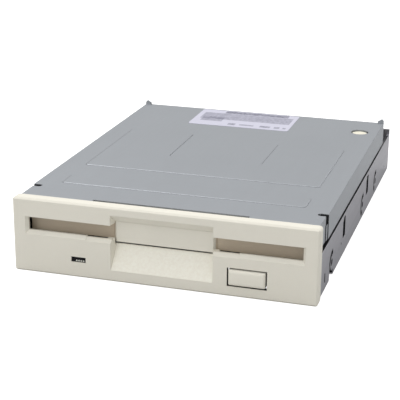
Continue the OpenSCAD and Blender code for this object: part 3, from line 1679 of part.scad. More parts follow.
chassis();
top_cover();
cover_label();
cover_post();
front_bezel();
lamp_window();
activity_lamp();
lamp_leads();
slot_shutter();
shutter_spring();
eject_button();
slide_plate();
return_springs();
disk_holder();
guide_pins();
latch_rivet();
latch_lever();
latch_spring();
datum_posts();
spindle_bearing();
spindle_shaft();
spindle_hub();
hub_magnet();
drive_pin();
rotor_cup();
rotor_magnet();
stator_core();
stator_coils();
motor_board();
guide_rods();
rod_clamps();
head_carriage();
lower_head();
screw_follower();
arm_pivot_pin();
head_arm();
upper_head();
arm_spring();
stepper_motor();
motor_bracket();
lead_screw();
screw_bearing();
track_sensor();
sensor_switches();
write_protect_plunger();
disk_present_plunger();
density_plunger();
main_board();
signal_connector();
signal_pins();
power_connector();
power_pins();
control_chips();
chip_leads();
capacitors();
motor_ribbon();
ribbon_sockets();
screws();
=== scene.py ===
"""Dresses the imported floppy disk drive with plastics, metals, boards and springs, and sets the studio."""
import json
import math

import bmesh
import bpy
from mathutils import Matrix, Vector

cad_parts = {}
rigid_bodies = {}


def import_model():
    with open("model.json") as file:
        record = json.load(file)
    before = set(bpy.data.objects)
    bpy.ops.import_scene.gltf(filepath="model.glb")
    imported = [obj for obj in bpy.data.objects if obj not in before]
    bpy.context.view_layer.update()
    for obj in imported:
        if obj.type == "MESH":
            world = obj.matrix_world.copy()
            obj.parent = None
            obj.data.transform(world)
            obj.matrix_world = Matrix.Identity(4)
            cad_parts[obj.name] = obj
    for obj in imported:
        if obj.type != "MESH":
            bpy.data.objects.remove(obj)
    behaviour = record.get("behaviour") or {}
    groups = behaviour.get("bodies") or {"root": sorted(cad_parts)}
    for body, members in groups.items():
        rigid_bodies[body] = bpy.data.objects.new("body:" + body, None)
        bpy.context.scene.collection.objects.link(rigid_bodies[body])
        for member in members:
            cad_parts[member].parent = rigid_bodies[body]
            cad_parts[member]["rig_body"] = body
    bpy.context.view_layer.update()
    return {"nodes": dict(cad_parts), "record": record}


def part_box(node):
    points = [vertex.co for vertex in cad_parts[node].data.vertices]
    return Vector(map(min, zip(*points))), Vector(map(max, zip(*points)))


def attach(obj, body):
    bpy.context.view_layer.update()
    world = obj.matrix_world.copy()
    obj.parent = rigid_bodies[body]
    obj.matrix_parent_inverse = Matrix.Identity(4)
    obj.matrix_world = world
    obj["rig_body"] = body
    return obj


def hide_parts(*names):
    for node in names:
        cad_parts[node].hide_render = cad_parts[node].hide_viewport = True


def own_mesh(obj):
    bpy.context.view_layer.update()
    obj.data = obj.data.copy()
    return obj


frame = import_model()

bl_info = {
    "name": "Floppy disk drive",
    "version": (1, 0, 0),
    "blender": (4, 5, 0),
    "location": "View3D > Sidebar > Drive",
    "description": "Builds the visible pieces, finishes and studio of a floppy disk drive",
    "category": "Object",
}

MM = 0.001
# Depth of the frame's origin behind the bezel's front face, in millimetres
FRAME_MIDDLE = 74.5
# Shades in narrow gaps and cuts, and their share over the paint beneath
GAP_SHADE = (0.012, 0.011, 0.010)
SHEET_SHADE = (0.008, 0.008, 0.010)
SLOT_SHADE = (0.010, 0.010, 0.013)
NEAR_BLACK = (0.006, 0.006, 0.008)
SHADE_SHARE = 0.97
CUT_SHARE = 0.93
# Least and most width of the side gaps, and the span of the sheet's cut edges beside them
SIDE_GAP = (46.0 * MM, 49.45 * MM)
CUT_EDGE = (48.9 * MM, 50.17 * MM)
# Side holes, as millimetres behind the bezel's face and above its foot
SIDE_HOLES = (24.9, 84.9, 114.9)
SIDE_HOLE_HEIGHT = 5.5
# Shaded arc along the slots round those holes, with the lean of the line where it ends
SLOT_ARC = 3.35 * MM
SLOT_ARC_HALF = 1.0 * MM
SLOT_ARC_FADE = 0.3 * MM
SLOT_ARC_LEAN = 0.36
WALL_SKIN = 50.1 * MM
# Camera fitted to the photograph: azimuth, elevation and roll in degrees, and its place
CAMERA_ANGLES = (16.69, 18.9, 0.43)
CAMERA_PLACE = (0.1123, -0.4064, 0.1496)
# Soft lights: place, the point they face, size and watts
LIGHTS = (
    ("key_light", (-0.45, 0.1, 0.8), (0, -0.02, 0), 0.5, 2.5),
    ("fill_light", (-0.25, -0.9, 0.35), (0, -0.05, 0), 0.6, 1.2),
    ("rear_light", (0.55, 0.75, 0.35), (0.04, 0.05, 0.01), 0.5, 1.6),
)
# Strength of the studio's light near the horizon and overhead
HORIZON_LIGHT = 0.24
OVERHEAD_LIGHT = 1.12


def place(x, y, z):
    """Frame point from millimetres right of the middle, behind the bezel's face and above its foot."""
    return Vector((x * MM, (y - FRAME_MIDDLE) * MM, z * MM))


# Settings


class DriveSizes(bpy.types.PropertyGroup):
    button_round: bpy.props.FloatProperty(
        name="Button edge radius", description="Width of the rounded edges of the eject button",
        default=0.3 * MM, unit="LENGTH", subtype="DISTANCE")
    pressing_height: bpy.props.FloatProperty(
        name="Pressing height", description="Height of the raised pressings on the top cover",
        default=0.18 * MM, unit="LENGTH", subtype="DISTANCE")
    pressing_slope: bpy.props.FloatProperty(
        name="Pressing slope", description="Width of the sloped edge round each pressing",
        default=0.5 * MM, unit="LENGTH", subtype="DISTANCE")
    return_wire: bpy.props.FloatProperty(
        name="Return spring wire", description="Diameter of the return springs' wire",
        default=0.4 * MM, unit="LENGTH", subtype="DISTANCE")
    small_wire: bpy.props.FloatProperty(
        name="Small spring wire", description="Diameter of the shutter's and the lever's spring wire",
        default=0.35 * MM, unit="LENGTH", subtype="DISTANCE")
    lens: bpy.props.FloatProperty(
        name="Lens", description="Focal length in millimetres on a 36 mm sensor", default=107.15)


class DriveColours(bpy.types.PropertyGroup):
    bezel: bpy.props.FloatVectorProperty(
        name="Bezel", description="Colour of the bezel's plastic", size=3, subtype="COLOR",
        default=(0.815, 0.785, 0.69))
    cover: bpy.props.FloatVectorProperty(
        name="Cover", description="Colour of the top cover's sheet", size=3, subtype="COLOR",
        default=(0.40, 0.42, 0.445))
    chassis: bpy.props.FloatVectorProperty(
        name="Chassis", description="Colour of the chassis sheet", size=3, subtype="COLOR",
        default=(0.44, 0.435, 0.47))
    board: bpy.props.FloatVectorProperty(
        name="Main board", description="Colour of the rear board's lacquer", size=3, subtype="COLOR",
        default=(0.02, 0.13, 0.055))


def sizes():
    return bpy.context.scene.drive_sizes


# Shader groups


def open_group(name, inputs, outputs):
    tree = bpy.data.node_groups.new(name, "ShaderNodeTree")
    for label, kind, default in inputs:
        tree.interface.new_socket(label, in_out="INPUT", socket_type=kind).default_value = default
    for label, kind in outputs:
        tree.interface.new_socket(label, in_out="OUTPUT", socket_type=kind)
    return tree, tree.nodes.new("NodeGroupInput"), tree.nodes.new("NodeGroupOutput")


def math_node(tree, operation, first, second=None):
    node = tree.nodes.new("ShaderNodeMath")
    node.operation = operation
    for socket, value in zip(node.inputs, (first, second)):
        if hasattr(value, "links"):
            tree.links.new(value, socket)
        elif value is not None:
            socket.default_value = value
    return node.outputs[0]


def map_range(tree, value, low, high, to_low, to_high):
    node = tree.nodes.new("ShaderNodeMapRange")
    tree.links.new(value, node.inputs["Value"])
    for label, number in zip(("From Min", "From Max", "To Min", "To Max"), (low, high, to_low, to_high)):
        if hasattr(number, "links"):
            tree.links.new(number, node.inputs[label])
        else:
            node.inputs[label].default_value = number
    return node.outputs["Result"]


def object_place(tree, stretch=(1, 1, 1)):
    coordinates = tree.nodes.new("ShaderNodeTexCoord")
    mapping = tree.nodes.new("ShaderNodeMapping")
    mapping.inputs["Scale"].default_value = stretch
    tree.links.new(coordinates.outputs["Object"], mapping.inputs["Vector"])
    return mapping.outputs["Vector"]


def object_axes(tree):
    """X, Y and Z of the shaded point, each as a socket."""
    split = tree.nodes.new("ShaderNodeSeparateXYZ")
    tree.links.new(object_place(tree), split.inputs["Vector"])
    return split.outputs


def distance(tree, value, middle):
    return math_node(tree, "ABSOLUTE", math_node(tree, "SUBTRACT", value, middle))


def every(tree, *tests):
    """Mask that is 1 where each test holds, given as an operation, a value and its limit."""
    mask = None
    for operation, value, limit in tests:
        test = math_node(tree, operation, value, limit)
        mask = math_node(tree, "MULTIPLY", mask, test) if mask else test
    return mask


def noise(tree, vector, scale, detail=2.0, roughness=0.5):
    node = tree.nodes.new("ShaderNodeTexNoise")
    tree.links.new(vector, node.inputs["Vector"])
    if hasattr(scale, "links"):
        tree.links.new(scale, node.inputs["Scale"])
    else:
        node.inputs["Scale"].default_value = scale
    node.inputs["Detail"].default_value = detail
    node.inputs["Roughness"].default_value = roughness
    return node.outputs["Fac"]


def drift_group():
    """Slow drift of a colour's brightness over the surface, with a finer mottle on top."""
    tree, source, sink = open_group(
        "Colour drift",
        [("Color", "NodeSocketColor", (1, 1, 1, 1)), ("Scale", "NodeSocketFloat", 60.0),
         ("Amount", "NodeSocketFloat", 0.05)],
        [("Color", "NodeSocketColor")])
    vector = object_place(tree)
    broad = noise(tree, vector, source.outputs["Scale"])
    fine = noise(tree, vector, math_node(tree, "MULTIPLY", source.outputs["Scale"], 14.0), 4.0, 0.6)
    both = math_node(tree, "ADD", math_node(tree, "MULTIPLY", broad, 0.65),
                     math_node(tree, "MULTIPLY", fine, 0.35))
    swing = math_node(tree, "MULTIPLY", math_node(tree, "SUBTRACT", both, 0.5), 4.0)
    value = math_node(tree, "ADD", math_node(tree, "MULTIPLY", swing, source.outputs["Amount"]), 1.0)
    tint = tree.nodes.new("ShaderNodeHueSaturation")
    tree.links.new(source.outputs["Color"], tint.inputs["Color"])
    tree.links.new(value, tint.inputs["Value"])
    tree.links.new(tint.outputs["Color"], sink.inputs["Color"])
    return tree


def grain_group():
    """Spark-eroded grain of moulded plastic: fine pits with a coarser unevenness."""
    tree, source, sink = open_group(
        "Moulded grain",
        [("Scale", "NodeSocketFloat", 3000.0), ("Coarse", "NodeSocketFloat", 0.35)],
        [("Height", "NodeSocketFloat"), ("Speckle", "NodeSocketFloat")])
    vector = object_place(tree)
    fine = noise(tree, vector, source.outputs["Scale"], 3.0, 0.65)
    pits = tree.nodes.new("ShaderNodeTexVoronoi")
    tree.links.new(vector, pits.inputs["Vector"])
    tree.links.new(math_node(tree, "MULTIPLY", source.outputs["Scale"], 0.45), pits.inputs["Scale"])
    coarse = math_node(tree, "MULTIPLY", pits.outputs["Distance"], source.outputs["Coarse"])
    tree.links.new(math_node(tree, "ADD", fine, coarse), sink.inputs["Height"])
    tree.links.new(map_range(tree, fine, 0.35, 0.65, 0.0, 1.0), sink.inputs["Speckle"])
    return tree


def rolled_group():
    """Rolling marks of sheet metal: long soft streaks along the depth, with a spangle under them."""
    tree, source, sink = open_group(
        "Rolled sheet",
        [("Streak Scale", "NodeSocketFloat", 900.0), ("Spangle Scale", "NodeSocketFloat", 260.0)],
        [("Streak", "NodeSocketFloat"), ("Spangle", "NodeSocketFloat")])
    streak = noise(tree, object_place(tree, (1.0, 0.03, 1.0)), source.outputs["Streak Scale"], 3.0, 0.6)
    spangle = tree.nodes.new("ShaderNodeTexVoronoi")
    tree.links.new(object_place(tree), spangle.inputs["Vector"])
    tree.links.new(source.outputs["Spangle Scale"], spangle.inputs["Scale"])
    flat = tree.nodes.new("ShaderNodeSeparateColor")
    tree.links.new(spangle.outputs["Color"], flat.inputs["Color"])
    tree.links.new(streak, sink.inputs["Streak"])
    tree.links.new(flat.outputs["Red"], sink.inputs["Spangle"])
    return tree


def turned_group():
    """Fine turning or drawing marks across one axis of a small metal part."""
    tree, source, sink = open_group(
        "Turned marks", [("Scale", "NodeSocketFloat", 5000.0)], [("Height", "NodeSocketFloat")])
    across = noise(tree, object_place(tree, (0.15, 0.15, 1.0)), source.outputs["Scale"], 2.0, 0.5)
    tree.links.new(across, sink.inputs["Height"])
    return tree


def edge_group():
    """Softened normal at sharp edges, and a mask of where they are."""
    tree, source, sink = open_group(
        "Soft edge", [("Radius", "NodeSocketFloat", 0.15 * MM)],
        [("Normal", "NodeSocketVector"), ("Mask", "NodeSocketFloat")])
    bevel = tree.nodes.new("ShaderNodeBevel")
    bevel.samples = 4
    tree.links.new(source.outputs["Radius"], bevel.inputs["Radius"])
    geometry = tree.nodes.new("ShaderNodeNewGeometry")
    dot = tree.nodes.new("ShaderNodeVectorMath")
    dot.operation = "DOT_PRODUCT"
    tree.links.new(bevel.outputs["Normal"], dot.inputs[0])
    tree.links.new(geometry.outputs["Normal"], dot.inputs[1])
    mask = map_range(tree, dot.outputs["Value"], 0.98, 0.75, 0.0, 1.0)
    tree.links.new(bevel.outputs["Normal"], sink.inputs["Normal"])
    tree.links.new(mask, sink.inputs["Mask"])
    return tree


def tracks_group():
    """Copper tracks under the lacquer of a circuit board, in straight runs with corners."""
    tree, source, sink = open_group(
        "Board tracks", [("Scale", "NodeSocketFloat", 260.0), ("Width", "NodeSocketFloat", 0.16)],
        [("Track", "NodeSocketFloat"), ("Via", "NodeSocketFloat")])
    vector = object_place(tree, (1.0, 0.55, 0.0))
    cells = tree.nodes.new("ShaderNodeTexVoronoi")
    cells.distance = "MANHATTAN"
    tree.links.new(vector, cells.inputs["Vector"])
    tree.links.new(source.outputs["Scale"], cells.inputs["Scale"])
    folds = math_node(tree, "FRACT", math_node(tree, "MULTIPLY", cells.outputs["Distance"], 5.0))
    track = math_node(tree, "LESS_THAN", distance(tree, folds, 0.5), source.outputs["Width"])
    via = math_node(tree, "LESS_THAN", cells.outputs["Distance"], 0.07)
    tree.links.new(track, sink.inputs["Track"])
    tree.links.new(via, sink.inputs["Via"])
    return tree


# Materials


class Finish:
    """One material under construction: a Principled BSDF and the groups that feed it."""

    groups = {}

    def __init__(self, name, colour, roughness, metallic=0.0, coat=0.0, specular=0.5):
        self.material = bpy.data.materials.new(name)
        self.material.use_nodes = True
        self.tree = self.material.node_tree
        self.shader = self.tree.nodes["Principled BSDF"]
        self.colour = (*colour, 1.0)
        self.shader.inputs["Base Color"].default_value = self.colour
        self.shader.inputs["Roughness"].default_value = roughness
        self.shader.inputs["Metallic"].default_value = metallic
        self.shader.inputs["Coat Weight"].default_value = coat
        self.shader.inputs["Specular IOR Level"].default_value = specular
        self.roughness = roughness
        self.normal = None
        self.paint = None

    def group(self, key, **values):
        node = self.tree.nodes.new("ShaderNodeGroup")
        node.node_tree = self.groups[key]
        for label, value in values.items():
            node.inputs[label.replace("_", " ")].default_value = value
        return node

    def drift(self, amount, scale=60.0):
        node = self.group("drift", Scale=scale, Amount=amount)
        if self.paint:
            self.tree.links.new(self.paint, node.inputs["Color"])
        else:
            node.inputs["Color"].default_value = self.colour
        self.set_paint(node.outputs["Color"])

    def set_paint(self, socket):
        self.paint = socket
        self.tree.links.new(socket, self.shader.inputs["Base Color"])

    def mix_paint(self, mask, colour, share=1.0):
        """Lays another colour over the paint where the mask is high."""
        node = self.tree.nodes.new("ShaderNodeMix")
        node.data_type = "RGBA"
        factor = math_node(self.tree, "MULTIPLY", mask, share)
        self.tree.links.new(factor, node.inputs["Factor"])
        if self.paint:
            self.tree.links.new(self.paint, node.inputs[6])
        else:
            node.inputs[6].default_value = self.colour
        node.inputs[7].default_value = (*colour, 1.0)
        self.set_paint(node.outputs[2])

    def vary_roughness(self, value, spread):
        low, high = self.roughness - spread, self.roughness + spread
        spread_out = map_range(self.tree, value, 0.25, 0.75, low, high)
        self.tree.links.new(spread_out, self.shader.inputs["Roughness"])

    def soft_edges(self, radius=0.15 * MM, edge_highlight_and_shade=None, share=0.45):
        node = self.group("edge", Radius=radius)
        self.normal = node.outputs["Normal"]
        self.tree.links.new(self.normal, self.shader.inputs["Normal"])
        # Colour laid along sharp edges: on the sheet metals a painted highlight, on the cover painted dark
        # lines of shade
        if edge_highlight_and_shade:
            self.mix_paint(node.outputs["Mask"], edge_highlight_and_shade, share)

    def bump(self, height, depth):
        node = self.tree.nodes.new("ShaderNodeBump")
        node.inputs["Distance"].default_value = depth
        node.inputs["Strength"].default_value = 1.0
        self.tree.links.new(height, node.inputs["Height"])
        if self.normal:
            self.tree.links.new(self.normal, node.inputs["Normal"])
        self.normal = node.outputs["Normal"]
        self.tree.links.new(self.normal, self.shader.inputs["Normal"])


def lighter(colour, factor):
    return tuple(min(1.0, c * factor) for c in colour)


def plastic(name, colour, roughness=0.5, grain=2600.0, depth=0.02 * MM, drift=0.02):
    finish = Finish(name, colour, roughness, specular=0.4)
    finish.drift(drift)
    finish.soft_edges()
    grains = finish.group("grain", Scale=grain)
    finish.vary_roughness(grains.outputs["Speckle"], 0.06)
    finish.bump(grains.outputs["Height"], depth)
    return finish.material


def ramp_mask(tree, at, aside):
    """Mask of the bezel's finger ramp, a plane between its foot and its head."""
    foot, head = place(0, 0, 3.9), place(0, 4.4, 12)
    skin, half_width, below_foot = 0.12 * MM, 16.9 * MM, 0.05 * MM
    lean = (head.y - foot.y) / (head.z - foot.z)
    climb = math_node(tree, "MULTIPLY", math_node(tree, "SUBTRACT", at["Z"], foot.z), lean)
    behind = math_node(tree, "SUBTRACT", at["Y"], foot.y)
    return every(tree, ("LESS_THAN", distance(tree, behind, climb), skin), ("LESS_THAN", aside, half_width),
                 ("GREATER_THAN", at["Z"], foot.z - below_foot))


def button_opening_mask(tree, at):
    """Mask of the walls round the eject button, behind the bezel's face, where shade is painted."""
    low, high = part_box("eject_button")
    wall, face = 0.7 * MM, place(0, 0.12, 0).y
    tests = [("GREATER_THAN", at["Y"], face)]
    for i, axis in ((0, "X"), (2, "Z")):
        away = distance(tree, at[axis], (low[i] + high[i]) / 2)
        tests.append(("LESS_THAN", away, (high[i] - low[i]) / 2 + wall))
    return every(tree, *tests)


def bezel_plastic(name, colour):
    """Moulded bezel whose finger ramp is painted lighter and carries a coarse grain with painted glints,
    with painted shade round the eject button and on the snap hooks.
    """
    finish = Finish(name, colour, 0.5, specular=0.4)
    finish.drift(0.02)
    finish.soft_edges(0.2 * MM)
    tree = finish.tree
    at = object_axes(tree)
    aside = math_node(tree, "ABSOLUTE", at["X"])
    ramp = ramp_mask(tree, at, aside)
    # Painted shade on the walls round the eject button
    finish.mix_paint(button_opening_mask(tree, at), GAP_SHADE, SHADE_SHARE)
    # Painted shade on the bezel's snap hooks, seen through the chassis windows
    hook_side, hook_front = 48.8 * MM, place(0, 6.5, 0).y
    hook = every(tree, ("GREATER_THAN", aside, hook_side), ("GREATER_THAN", at["Y"], hook_front))
    finish.mix_paint(hook, GAP_SHADE, 0.9)
    fine = finish.group("grain", Scale=2600.0)
    coarse = finish.group("grain", Scale=1100.0)
    finish.mix_paint(ramp, lighter(colour, 1.14), 0.8)
    # Painted glints: the coarse grain's speckle on the ramp is laid lighter
    painted_glint = math_node(tree, "MULTIPLY", coarse.outputs["Speckle"], ramp)
    finish.mix_paint(painted_glint, lighter(colour, 1.3), 0.45)
    finish.vary_roughness(fine.outputs["Speckle"], 0.06)
    height = math_node(tree, "ADD", math_node(tree, "MULTIPLY", fine.outputs["Height"], 0.25),
                       math_node(tree, "MULTIPLY", coarse.outputs["Height"], ramp))
    finish.bump(height, 0.07 * MM)
    return finish.material


def shutter_plastic(name, colour):
    """Shutter whose recessed ends carry painted shade: the darker, browner tone of the shaded slot."""
    finish = Finish(name, colour, 0.5, specular=0.35)
    finish.drift(0.025)
    # Painted shade: the recessed ends are laid darker and browner
    recess = place(0, 4.2, 0).y
    browner = (0.76, 0.66, 0.57)
    recessed = math_node(finish.tree, "GREATER_THAN", object_axes(finish.tree)["Y"], recess)
    finish.mix_paint(recessed, tuple(c * share for c, share in zip(colour, browner)), 0.9)
    finish.soft_edges()
    grains = finish.group("grain", Scale=2600.0)
    finish.vary_roughness(grains.outputs["Speckle"], 0.06)
    finish.bump(grains.outputs["Height"], 0.02 * MM)
    return finish.material


def ribbon_plastic(name, colour):
    """Flat cable: insulation moulded over a row of parallel conductors."""
    finish = Finish(name, colour, 0.4)
    finish.drift(0.03)
    tree = finish.tree
    ribs = tree.nodes.new("ShaderNodeTexWave")
    ribs.bands_direction = "X"
    ribs.inputs["Scale"].default_value = 500.0
    tree.links.new(object_place(tree), ribs.inputs["Vector"])
    finish.mix_paint(ribs.outputs["Fac"], tuple(c * 0.8 for c in colour), 0.6)
    finish.vary_roughness(ribs.outputs["Fac"], 0.05)
    finish.bump(ribs.outputs["Fac"], 0.1 * MM)
    return finish.material


def wall_shade(finish):
    """Painted shade on the upright faces beside the chassis walls, and on the sheet's cuts there."""
    tree = finish.tree
    coordinates = tree.nodes.new("ShaderNodeTexCoord")
    facing = tree.nodes.new("ShaderNodeSeparateXYZ")
    tree.links.new(coordinates.outputs["Normal"], facing.inputs["Vector"])
    at = object_axes(tree)
    aside = math_node(tree, "ABSOLUTE", at["X"])
    turned = math_node(tree, "ABSOLUTE", facing.outputs["X"])
    upright = every(tree, ("GREATER_THAN", aside, SIDE_GAP[0]), ("LESS_THAN", aside, SIDE_GAP[1]),
                    ("GREATER_THAN", turned, 0.7))
    # Painted shade: the upright faces in the side gaps are laid near-black
    finish.mix_paint(upright, NEAR_BLACK, SHADE_SHARE)
    depth, height = at["Y"], at["Z"]
    sheet_foot, wall_head, cover_underside = 1.0 * MM, 15.4 * MM, 24.8 * MM
    wall_rear, relief_rear, relief_in = place(0, 147, 0).y, place(0, 17, 0).y, 47.0 * MM
    side_cuts = (("GREATER_THAN", aside, CUT_EDGE[0]), ("LESS_THAN", aside, CUT_EDGE[1]),
                 ("GREATER_THAN", height, sheet_foot), ("LESS_THAN", height, wall_head),
                 ("LESS_THAN", depth, wall_rear))
    bend_reliefs = (("GREATER_THAN", aside, relief_in), ("GREATER_THAN", height, wall_head),
                    ("LESS_THAN", height, cover_underside), ("LESS_THAN", depth, relief_rear))
    # Painted shade on the sheet's cut faces beside the side gaps and in the bend reliefs
    for tests in (side_cuts, bend_reliefs):
        finish.mix_paint(every(tree, ("LESS_THAN", turned, 0.5), *tests), SHEET_SHADE, CUT_SHARE)


def slot_shade(finish):
    """Shade on the outer sheet along the curved slots round the side holes."""
    tree = finish.tree
    at = object_axes(tree)
    aside = math_node(tree, "ABSOLUTE", at["X"])
    for back in SIDE_HOLES:
        hole = place(0, back, SIDE_HOLE_HEIGHT)
        behind = math_node(tree, "SUBTRACT", at["Y"], hole.y)
        above = math_node(tree, "SUBTRACT", at["Z"], hole.z)
        squares = (math_node(tree, "MULTIPLY", way, way) for way in (behind, above))
        reach = math_node(tree, "SQRT", math_node(tree, "ADD", *squares))
        off_slot = distance(tree, reach, SLOT_ARC)
        shade = map_range(tree, off_slot, SLOT_ARC_HALF, SLOT_ARC_HALF + SLOT_ARC_FADE, 1.0, 0.0)
        end_line = math_node(tree, "MULTIPLY", above, SLOT_ARC_LEAN)
        ahead = every(tree, ("LESS_THAN", behind, end_line), ("GREATER_THAN", aside, WALL_SKIN))
        finish.mix_paint(math_node(tree, "MULTIPLY", shade, ahead), SLOT_SHADE, CUT_SHARE)


def sheet_metal(name, colour, roughness=0.4, metallic=0.8, spangle=0.1, streak=0.004,
                edge_highlight_and_shade=(0.75, 0.76, 0.78), edge=0.15 * MM, edge_share=0.45, gloss_spread=0.06):
    finish = Finish(name, colour, roughness, metallic)
    finish.drift(0.02, 35.0)
    rolled = finish.group("rolled")
    finish.mix_paint(rolled.outputs["Spangle"], tuple(c * 0.82 for c in colour), spangle)
    # Painted highlight along the sheet's sharp edges; the cover passes a dark colour for painted shade
    # lines
    finish.soft_edges(edge, edge_highlight_and_shade, edge_share)
    wall_shade(finish)
    slot_shade(finish)
    finish.vary_roughness(rolled.outputs["Streak"], gloss_spread)
    finish.bump(rolled.outputs["Streak"], streak * MM)
    return finish.material


def turned_metal(name, colour, roughness=0.25, metallic=1.0, marks=5000.0, depth=0.003 * MM):
    finish = Finish(name, colour, roughness, metallic)
    finish.drift(0.03, 220.0)
    finish.soft_edges(0.08 * MM)
    turned = finish.group("turned", Scale=marks)
    finish.vary_roughness(turned.outputs["Height"], 0.07)
    finish.bump(turned.outputs["Height"], depth)
    return finish.material


def board_laminate(name, colour, track_colour):
    finish = Finish(name, colour, 0.32, coat=0.25)
    finish.drift(0.05, 90.0)
    tracks = finish.group("tracks")
    finish.mix_paint(tracks.outputs["Track"], track_colour, 0.75)
    finish.mix_paint(tracks.outputs["Via"], (0.62, 0.60, 0.55), 0.9)
    finish.soft_edges(0.08 * MM)
    finish.bump(tracks.outputs["Track"], 0.02 * MM)
    return finish.material


def ceramic(name, colour, roughness):
    finish = Finish(name, colour, roughness, specular=0.6)
    finish.drift(0.12, 700.0)
    finish.soft_edges(0.08 * MM)
    grains = finish.group("grain", Scale=5200.0)
    finish.vary_roughness(grains.outputs["Speckle"], 0.08)
    finish.bump(grains.outputs["Height"], 0.006 * MM)
    return finish.material


def windings(name, colour):
    finish = Finish(name, colour, 0.28, 0.9, coat=0.5)
    finish.drift(0.06, 400.0)
    wave = finish.tree.nodes.new("ShaderNodeTexWave")
    wave.wave_type = "RINGS"
    wave.inputs["Scale"].default_value = 900.0
    finish.tree.links.new(object_place(finish.tree), wave.inputs["Vector"])
    finish.vary_roughness(wave.outputs["Fac"], 0.08)
    finish.bump(wave.outputs["Fac"], 0.05 * MM)
    return finish.material


def smoked_lens(name):
    """Dark lens whose light guides, which stand a little in front of it, are pale."""
    finish = Finish(name, NEAR_BLACK, 0.35, specular=0.2)
    finish.drift(0.1, 300.0)
    lens_face = place(0, 0.36, 0).y
    front = math_node(finish.tree, "LESS_THAN", object_axes(finish.tree)["Y"], lens_face)
    finish.mix_paint(front, (0.75, 0.75, 0.68), 0.95)
    finish.soft_edges(0.08 * MM)
    grains = finish.group("grain", Scale=4200.0)
    finish.vary_roughness(grains.outputs["Speckle"], 0.05)
    return finish.material


# Fields of the blank label: span across, span in depth and how dark each one is
LABEL_FIELDS = (
    ((-14, 12), (125.4, 128.4), 0.95), ((-22, 14.5), (115.6, 124.6), 0.6),
    ((-21, -12.5), (112.5, 118.5), 0.6),
    ((-8.6, -6), (108.6, 110.8), 0.75), ((-4, 1.5), (109, 110.4), 0.6), ((4.4, 8.2), (108.6, 110.6), 0.75),
    ((10.2, 12), (108.8, 110.6), 0.75), ((13.6, 14.6), (108.8, 110.4), 0.6),
)


def soft_field(tree, at, x, y, soft=0.35):
    """Mask that is 1 inside a rectangle of the label and fades out at its edges."""
    spans = []
    for axis, (low, high) in (("X", x), ("Y", y)):
        shift = 0.0 if axis == "X" else -FRAME_MIDDLE
        middle, half = ((low + high) / 2 + shift) * MM, (high - low) / 2 * MM
        away = distance(tree, at[axis], middle)
        spans.append(map_range(tree, away, half, half + soft * MM, 1.0, 0.0))
    return math_node(tree, "MULTIPLY", *spans)


def paper(name, colour):
    """Blank label: coated paper with faint grey fields and no print."""
    finish = Finish(name, colour, 0.6)
    finish.drift(0.03, 120.0)
    tree = finish.tree
    at = object_axes(tree)
    mottle = noise(tree, object_place(tree), 900.0, 3.0, 0.7)
    for x, y, strength in LABEL_FIELDS:
        field = soft_field(tree, at, x, y)
        worn = math_node(tree, "MULTIPLY", field, map_range(tree, mottle, 0.35, 0.6, 0.5, 1.0))
        finish.mix_paint(worn, (0.13, 0.13, 0.18), strength)
    grains = finish.group("grain", Scale=3600.0)
    finish.vary_roughness(grains.outputs["Speckle"], 0.08)
    finish.bump(grains.outputs["Height"], 0.004 * MM)
    return finish.material


